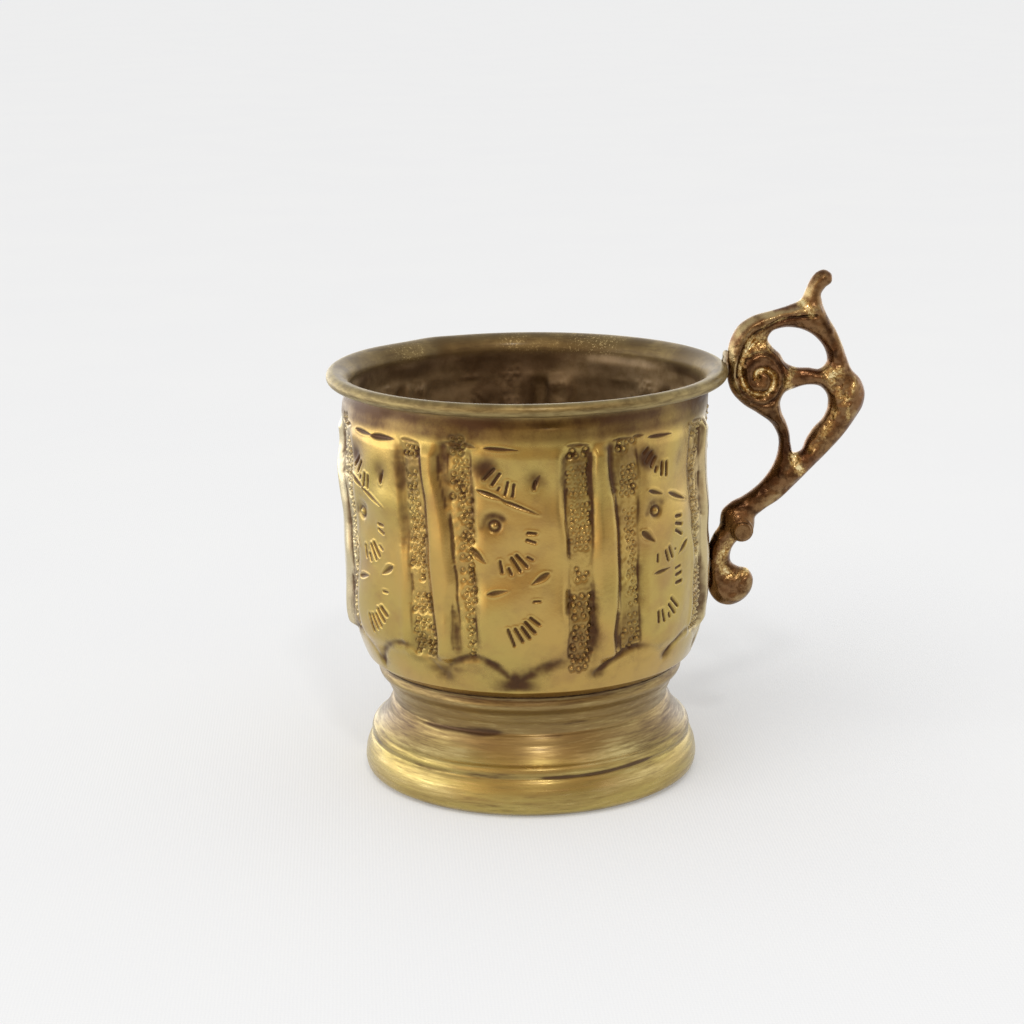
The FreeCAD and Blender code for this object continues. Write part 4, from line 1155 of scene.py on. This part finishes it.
# --------------------------------------------------------------------- the materials
class Material:
    """A principled material and short ways to add nodes to it."""

    def __init__(self, name, **constants):
        self.data = bpy.data.materials.new(name)
        self.data.use_nodes = True
        self.tree = self.data.node_tree
        self.shader = self.tree.nodes["Principled BSDF"]
        for socket, value in constants.items():
            self.shader.inputs[socket.replace("_", " ")].default_value = value

    def node(self, kind, settings=None, **inputs):
        """A new node. An input is named by its socket, or by its number, as in _0."""
        node = self.tree.nodes.new("ShaderNode" + kind)
        for name, value in (settings or {}).items():
            setattr(node, name, value)
        for name, value in inputs.items():
            number = name[1:]
            key = int(number) if number.isdigit() else name.replace("_", " ")
            self.put(value, node.inputs[key])
        return node

    def put(self, value, socket):
        """Links a node's output to a socket, or sets the socket to a constant."""
        if isinstance(value, bpy.types.NodeSocket):
            self.tree.links.new(value, socket)
        else:
            socket.default_value = value

    def place(self):
        """The surface's place in the part's own frame, in metres."""
        return self.node("TexCoord").outputs["Object"]

    def noise(self, scale, detail=3.0, roughness=0.55, vector=None):
        """A value about 0.5 that wanders, so many times a metre."""
        node = self.node("TexNoise", Vector=vector or self.place(), Scale=scale, Detail=detail,
                         Roughness=roughness)
        return node.outputs["Fac"]

    def attribute(self, name):
        """One of the mesh's own values, such as its dirt and painted shade."""
        return self.node("Attribute", {"attribute_name": name}).outputs["Fac"]

    def maths(self, operation, a, b=0.0):
        return self.node("Math", {"operation": operation}, _0=a, _1=b).outputs[0]

    def plus(self, a, b):
        return self.maths("ADD", a, b)

    def times(self, a, b):
        return self.maths("MULTIPLY", a, b)

    def span(self, value, low, high, to_low=0.0, to_high=1.0):
        """The value's span from low to high, eased onto another span."""
        node = self.node("MapRange", {"interpolation_type": "SMOOTHSTEP"}, Value=value,
                         _1=low, _2=high, _3=to_low, _4=to_high)
        return node.outputs["Result"]

    def mix(self, share, one, two):
        """A share of the second colour in the first."""
        one = (*one, 1.0) if isinstance(one, tuple) else one
        two = (*two, 1.0) if isinstance(two, tuple) else two
        return self.node("MixRGB", Fac=share, Color1=one, Color2=two).outputs["Color"]

    def bump(self, height, distance, strength, under=None):
        """A normal from a height, whose full span is that many millimetres."""
        node = self.node("Bump", Height=height, Distance=distance * MM, Strength=strength)
        if under is not None:
            self.put(under, node.inputs["Normal"])
        return node.outputs["Normal"]

    def stretched(self, around, along, lean=0.8):
        """Coordinates for noise that runs round the axis: squeezed around, fine along it."""
        split = self.node("SeparateXYZ", Vector=self.place())
        x, y, z = split.outputs
        radius = self.maths("SQRT", self.plus(self.times(x, x), self.times(y, y)))
        radius = self.maths("MAXIMUM", radius, 0.001)
        turn_x = self.times(self.maths("DIVIDE", x, radius), around)
        turn_y = self.times(self.maths("DIVIDE", y, radius), around)
        rise = self.times(self.plus(z, self.times(radius, lean)), along)
        return self.node("CombineXYZ", X=turn_x, Y=turn_y, Z=rise).outputs[0]

    def finish(self, **links):
        """Links the shader's inputs and gives the material."""
        for socket, value in links.items():
            self.put(value, self.shader.inputs[socket.replace("_", " ")])
        return self.data


def cup_brass():
    """Antiqued sheet brass: clean on the high spots, smoke-brown in the hollows and inside, with
    painted shade under the rim and inside and a painted reflection at its sides.
    """
    m = Material("cup_brass", Metallic=1.0, Coat_Weight=0.18, Coat_Roughness=0.2)
    broad, patchy = m.noise(38.0, 3.0), m.noise(95.0, 4.0, 0.62)
    middle, fine = m.noise(260.0, 4.0, 0.6), m.noise(1500.0, 3.0, 0.7)
    brass = m.mix(m.span(broad, 0.40, 0.60), (0.472, 0.344, 0.096), (0.498, 0.328, 0.093))
    brass = m.mix(m.span(patchy, 0.50, 0.72, 0.0, 0.6), brass, (0.36, 0.21, 0.075))
    brass = m.mix(m.span(middle, 0.45, 0.75, 0.0, 0.35), brass, (0.30, 0.185, 0.07))
    # A painted reflection: the wall paler at its sides.
    brass = m.mix(m.attribute("painted_sheen"), brass, (0.68, 0.60, 0.42))
    dirt = m.plus(m.attribute("dirt"), m.span(fine, 0.3, 0.75, -0.02, 0.03))
    dirt = m.plus(dirt, m.span(middle, 0.4, 0.8, -0.04, 0.12))
    rim, lip, inside = m.attribute("rim"), m.attribute("lip"), m.attribute("inside")
    inner_wall = m.times(inside, m.maths("SUBTRACT", 1.0, rim))
    # Dark brown from the attribute: patina in the hollows, and painted shade under the rim, inside the
    # cup and on the side turned from the light.
    color = m.mix(m.span(dirt, 0.06, 0.92), brass, (0.088, 0.041, 0.016))
    streaks = m.noise(1.0, 4.0, 0.65, m.stretched(9.0, 1400.0))
    worn = m.mix(m.span(streaks, 0.35, 0.65), (0.21, 0.155, 0.064), (0.39, 0.305, 0.13))
    color = m.mix(m.times(rim, 0.85), color, worn)
    stain = m.mix(m.span(middle, 0.3, 0.7), (0.42, 0.31, 0.185), (0.27, 0.19, 0.105))
    color = m.mix(m.times(inner_wall, m.span(dirt, 0.3, 1.0, 0.97, 0.5)), color, stain)
    grain = m.noise(2300.0, 3.0, 0.7)
    scoured = m.plus(m.attribute("scoured"), m.span(patchy, 0.35, 0.65, -0.3, 0.3))
    scoured = m.times(m.span(grain, 0.55, 0.66), m.span(scoured, 0.15, 0.7))
    lip_brown = m.mix(m.span(patchy, 0.35, 0.65), (0.135, 0.088, 0.036), (0.26, 0.185, 0.075))
    lip_brown = m.mix(m.span(streaks, 0.45, 0.7, 0.0, 0.6), lip_brown, (0.085, 0.05, 0.025))
    color = m.mix(m.times(lip, 0.92), color, m.mix(scoured, lip_brown, (0.56, 0.43, 0.20)))
    rough = m.span(dirt, 0.1, 0.9, 0.25, 0.52)
    rough = m.plus(rough, m.span(fine, 0.3, 0.7, -0.01, 0.015))
    rough = m.maths("MAXIMUM", rough, m.times(inner_wall, 0.66))
    rough = m.maths("MAXIMUM", rough, m.times(lip, 0.5))
    brushed = m.noise(1.0, 3.0, 0.6, m.stretched(26.0, 2600.0))
    normal = m.bump(brushed, 0.012, 0.25)
    normal = m.bump(fine, 0.006, 0.3, normal)
    normal = m.bump(middle, 0.12, 0.6, normal)
    return m.finish(Base_Color=color, Roughness=rough, Normal=normal)


def foot_brass():
    """Lathe-brushed brass: lines run round it, brown in the hollow, bright on the band, with painted
    highlights and painted shade on its sides.
    """
    m = Material("foot_brass", Metallic=1.0, Anisotropic=0.5, Anisotropic_Rotation=0.25,
                 Coat_Weight=0.14, Coat_Roughness=0.2)
    lines = m.noise(1.0, 4.0, 0.7, m.stretched(5.0, 1900.0, -0.5))
    streaks = m.noise(1.0, 3.0, 0.6, m.stretched(2.4, 520.0, -0.5))
    blots = m.noise(130.0, 4.0, 0.6)
    split = m.node("SeparateXYZ", Vector=m.place())
    up = m.maths("DIVIDE", split.outputs["Z"], MM)
    hollow = m.times(m.span(up, 8.5, 13.0), m.span(up, 23.5, 20.5))
    seam = m.span(up, 19.8, 22.0)
    color = m.mix(m.span(streaks, 0.36, 0.64), (0.46, 0.355, 0.112), (0.40, 0.29, 0.096))
    color = m.mix(m.times(hollow, 0.72), color, (0.285, 0.19, 0.082))
    color = m.mix(m.span(lines, 0.48, 0.72, 0.0, 0.46), color, (0.18, 0.115, 0.05))
    color = m.mix(m.span(lines, 0.46, 0.34, 0.0, 0.36), color, (0.59, 0.46, 0.20))
    # Painted highlights: pale brass where the light falls on the flare and band.
    painted_highlight = m.times(m.attribute("painted_highlight"), m.span(lines, 0.35, 0.6, 0.9, 0.3))
    color = m.mix(painted_highlight, color, (0.74, 0.60, 0.28))
    # Soot in the lines and the seam, and painted shade on the foot's sides.
    soot_and_shade = m.plus(m.attribute("soot_and_shade"), m.times(seam, 0.6))
    soot_and_shade = m.plus(soot_and_shade, m.span(lines, 0.4, 0.7, -0.08, 0.1))
    color = m.mix(m.span(soot_and_shade, 0.08, 0.85, 0.0, 0.92), color, (0.085, 0.045, 0.026))
    color = m.mix(m.span(blots, 0.62, 0.82, 0.0, 0.16), color, (0.14, 0.08, 0.035))
    rough = m.span(lines, 0.3, 0.7, 0.24, 0.40)
    rough = m.plus(rough, m.times(hollow, 0.06))
    normal = m.bump(lines, 0.04, 0.7)
    normal = m.bump(streaks, 0.07, 0.5, normal)
    tangent = m.node("Tangent", {"direction_type": "RADIAL", "axis": "Z"}).outputs[0]
    return m.finish(Base_Color=color, Roughness=rough, Normal=normal, Tangent=tangent)


def handle_bronze():
    """Cast brass with a red-brown patina, tan where hands wear it, granular gold in its recesses, and
    painted highlights and shade.
    """
    m = Material("handle_bronze", Metallic=1.0)
    broad, middle, fine = m.noise(120.0, 3.0), m.noise(480.0, 4.0, 0.65), m.noise(1700.0, 3.0, 0.7)
    specks = m.noise(3000.0, 2.0, 0.6)
    brown = m.mix(m.span(broad, 0.35, 0.65), (0.170, 0.080, 0.037), (0.24, 0.138, 0.060))
    brown = m.mix(m.span(middle, 0.45, 0.68, 0.0, 0.8), brown, (0.07, 0.030, 0.014))
    # Tan where the casting is worn, and painted highlights along its edges.
    worn = m.plus(m.attribute("worn"), m.span(middle, 0.3, 0.7, 0.08, -0.16))
    color = m.mix(m.span(worn, 0.08, 0.7, 0.0, 0.95), brown, (0.45, 0.335, 0.165))
    # Near black: soot in the cuts, and painted shade on the faces turned from the light.
    soot_and_shade = m.plus(m.attribute("soot_and_shade"), m.span(middle, 0.4, 0.7, -0.1, 0.15))
    color = m.mix(m.span(soot_and_shade, 0.12, 0.9, 0.0, 0.9), color, (0.045, 0.020, 0.010))
    # Gold in the recesses, with a painted glint along the arm.
    gold = m.plus(m.attribute("gold"), m.span(specks, 0.35, 0.65, 0.09, -0.09))
    grain = m.mix(m.span(specks, 0.38, 0.60), (0.66, 0.49, 0.20), (0.42, 0.25, 0.09))
    color = m.mix(m.span(gold, 0.12, 0.95, 0.0, 0.92), color, grain)
    color = m.mix(m.span(gold, 0.8, 1.25), color, (0.88, 0.72, 0.38))
    rough = m.span(fine, 0.3, 0.7, 0.22, 0.36)
    normal = m.bump(middle, 0.14, 0.8)
    normal = m.bump(fine, 0.04, 0.5, normal)
    normal = m.bump(specks, 0.03, 0.6, normal)
    return m.finish(Base_Color=color, Roughness=rough, Normal=normal)


def soft_solder():
    """Dull, lumpy grey solder with brown in its pits."""
    m = Material("soft_solder", Metallic=1.0)
    middle, fine = m.noise(500.0, 4.0, 0.6), m.noise(2200.0, 2.0)
    color = m.mix(m.span(middle, 0.35, 0.65), (0.44, 0.37, 0.27), (0.25, 0.19, 0.12))
    rough = m.span(fine, 0.3, 0.7, 0.36, 0.55)
    return m.finish(Base_Color=color, Roughness=rough, Normal=m.bump(middle, 0.1, 0.6))


def seam_brown():
    """The foot's soldered seam, under old brown polish."""
    m = Material("seam_brown", Metallic=1.0)
    middle = m.noise(500.0, 4.0, 0.6)
    color = m.mix(m.span(middle, 0.35, 0.65), (0.09, 0.055, 0.028), (0.05, 0.03, 0.016))
    return m.finish(Base_Color=color, Roughness=m.span(middle, 0.3, 0.7, 0.5, 0.65))


def pale_cloth():
    """Close-woven white cloth."""
    m = Material("pale_cloth", Roughness=0.95, Specular_IOR_Level=0.0,
                 Emission_Color=(1.0, 1.0, 1.0, 1.0), Emission_Strength=0.225)
    warp, weft = (m.node("TexWave", {"bands_direction": way}, Vector=m.place(), Scale=520.0,
                         Distortion=1.2, Detail=1.0).outputs["Fac"] for way in "XY")
    weave = m.plus(warp, weft)
    slow = m.noise(14.0, 3.0)
    color = m.mix(m.span(slow, 0.3, 0.7), (0.615, 0.615, 0.615), (0.625, 0.625, 0.62))
    color = m.mix(m.span(weave, 0.4, 1.6, 0.0, 0.5), color, (0.58, 0.58, 0.59))
    return m.finish(Base_Color=color, Normal=m.bump(weave, 0.03, 0.35))


# ----------------------------------------------------------------- pieces on the body
def place_piece(piece, material, slot, *nodes):
    """Gives the piece its material and its body, in place of the CAD nodes."""
    piece.data.materials.clear()
    piece.data.materials.append(material)
    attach(piece, "root")
    if nodes:
        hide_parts(*nodes)


solder = soft_solder()
place_piece(make_cup(chased_wall()), cup_brass(), "cup_brass", "cup_body")
place_piece(make_foot(), foot_brass(), "foot_brass", "pedestal_foot")
place_piece(make_handle(), handle_bronze(), "handle_bronze", "handle")
place_piece(make_solder("rim_blob", (38.1, 0.3, 78.2), np.array([0.75, 1.8, 2.5]), 3), solder,
            "solder", "rim_solder")
place_piece(make_solder("wall_blob", (34.75, 0.3, 39.3), np.array([0.62, 2.0, 4.2]), 4), solder,
            "solder", "wall_solder")
ring_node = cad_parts["foot_solder_ring"]
ring_node.data.materials.clear()
ring_node.data.materials.append(seam_brown())


# -------------------------------------------------------------------------- the stage
CAMERA = Vector((-30.9, -441.82, 161.68)) * MM
CAMERA_TARGET = Vector((-3.06, 0.21, 50.36)) * MM
CAMERA_ROLL = -0.014    # in radians
FOCAL_LENGTH = 83.66    # on a sensor SENSOR_WIDTH wide
SENSOR_WIDTH = 36.0
LAMP_TARGET = Vector((0.0, 0.0, 50.0)) * MM
WORLD_STRENGTH = 0.78
SKY_STRENGTH, SKY_WIDTH = 1.06, 50.0
BULB_POWER, BULB_WIDTH = 1.3, 0.08


def make_floor():
    """A plain cloth under the mug, far wider than the view."""
    reach = 6000.0
    floor = make_piece("floor", [(-reach, -reach, 0.0), (reach, -reach, 0.0),
                                 (reach, reach, 0.0), (-reach, reach, 0.0)], [(0, 1, 2, 3)])
    floor.data.materials.append(pale_cloth())


def make_camera():
    """A long lens, a little above the rim and level but for a hair."""
    ahead = (CAMERA_TARGET - CAMERA).normalized()
    right = ahead.cross(Vector((0.0, 0.0, 1.0))).normalized()
    above = right.cross(ahead)
    cosine, sine = math.cos(CAMERA_ROLL), math.sin(CAMERA_ROLL)
    right, above = right * cosine + above * sine, above * cosine - right * sine
    lens = bpy.data.cameras.new("camera")
    lens.sensor_width = SENSOR_WIDTH
    lens.lens = FOCAL_LENGTH
    lens.clip_start = 0.01
    camera = bpy.data.objects.new("camera", lens)
    axes = Matrix((right, above, -ahead)).transposed()
    camera.matrix_world = Matrix.Translation(CAMERA) @ axes.to_4x4()
    bpy.context.scene.collection.objects.link(camera)
    bpy.context.scene.camera = camera


def aim(lamp, place):
    """Puts a lamp at a place and turns it to the mug's middle."""
    lamp.location = place
    lamp.rotation_euler = (LAMP_TARGET - Vector(place)).to_track_quat("-Z", "Y").to_euler()
    bpy.context.scene.collection.objects.link(lamp)


def add_sky_patch(name, place, wide, strength):
    """A far, soft patch of sky, which lights the whole floor evenly: wide is its angle."""
    light = bpy.data.lights.new(name, "SUN")
    light.angle = math.radians(wide)
    light.energy = strength
    patch = bpy.data.objects.new(name, light)
    patch.visible_glossy = False
    aim(patch, place)


def add_panel(name, place, wide, power):
    """A square lamp: its place and width are in metres, its power in watts."""
    light = bpy.data.lights.new(name, "AREA")
    light.shape = "SQUARE"
    light.size = wide
    light.energy = power
    aim(bpy.data.objects.new(name, light), place)


# How bright the room is, seen in the metal: (angle from the camera's side, strength).
ROOM = [(-180, 3.0), (-150, 3.7), (-112, 3.5), (-90, 3.8), (-72, 3.6), (-56, 2.5), (-42, 1.5),
        (-28, 0.8), (-12, 0.54), (5, 0.52), (20, 0.31), (42, 0.28), (60, 0.6), (76, 1.24),
        (100, 1.5), (140, 2.3), (180, 2.8)]
CEILING = 0.72
ROOM_RADIUS = 850.0
# The room's rings, from the cloth beside the mug up to the ceiling:
# (radius, height, how solid, share of the ceiling's light).
ROOM_RINGS = [(150.0, 0.6, 0.0, 0.0), (300.0, 0.7, 0.6, 0.0), (ROOM_RADIUS, 0.8, 0.8, 0.0),
              (ROOM_RADIUS, 300.0, 0.95, 0.5), (ROOM_RADIUS, 700.0, 0.95, 0.95),
              (500.0, 1000.0, 0.95, 1.0), (1.0, 1000.0, 0.95, 1.0)]


def add_room():
    """A glowing room round the mug, seen only in reflections, warm and dim at the camera's side."""
    steps = 145
    angles = np.linspace(-180.0, 180.0, steps)
    strength = np.interp(angles, *zip(*ROOM))
    warm = smooth((75.0 - np.abs(angles - 5.0)) / 35.0)
    turn = np.radians(angles + FACING)
    places, fade, glow = [], [], []
    for reach, height, cover, sky in ROOM_RINGS:
        near = warm if reach < ROOM_RADIUS and height < 1.0 else np.ones(steps)
        places.append(np.column_stack([reach * np.cos(turn), reach * np.sin(turn),
                                       np.full(steps, height)]))
        fade.append(cover * near)
        glow.append(strength * (1.0 - sky) + CEILING * sky)
    corners = [row * steps + n for row in range(len(places) - 1) for n in range(steps - 1)]
    faces = [(n, n + 1, n + 1 + steps, n + steps) for n in corners]
    room = make_piece("room", np.vstack(places), faces, {
        "fade": np.concatenate(fade), "strength": np.concatenate(glow),
        "warm": np.tile(warm, len(places))})
    m = Material("room")
    color = m.mix(m.attribute("warm"), (1.0, 1.0, 0.97), (1.0, 0.75, 0.54))
    glow = m.node("Emission", Color=color, Strength=m.attribute("strength"))
    clear = m.node("BsdfTransparent")
    blend = m.node("MixShader", Fac=m.attribute("fade"), _1=clear.outputs[0], _2=glow.outputs[0])
    m.put(blend.outputs[0], m.tree.nodes["Material Output"].inputs["Surface"])
    room.data.materials.append(m.data)
    for ray in ("camera", "diffuse", "transmission", "volume_scatter", "shadow"):
        setattr(room, "visible_" + ray, False)


def light_stage():
    """An even white world, a soft patch of sky, a bulb for the glints, and the room."""
    world = bpy.data.worlds.new("studio")
    world.use_nodes = True
    background = world.node_tree.nodes["Background"]
    background.inputs["Color"].default_value = (1.0, 1.0, 1.0, 1.0)
    background.inputs["Strength"].default_value = WORLD_STRENGTH
    bpy.context.scene.world = world
    add_sky_patch("sky_patch", (-0.7, -0.9, 1.3), SKY_WIDTH, SKY_STRENGTH)
    add_panel("bulb", (0.05, -0.7, 0.75), BULB_WIDTH, BULB_POWER)
    add_room()
    bpy.context.scene.view_settings.view_transform = "Standard"


make_floor()
make_camera()
light_stage()
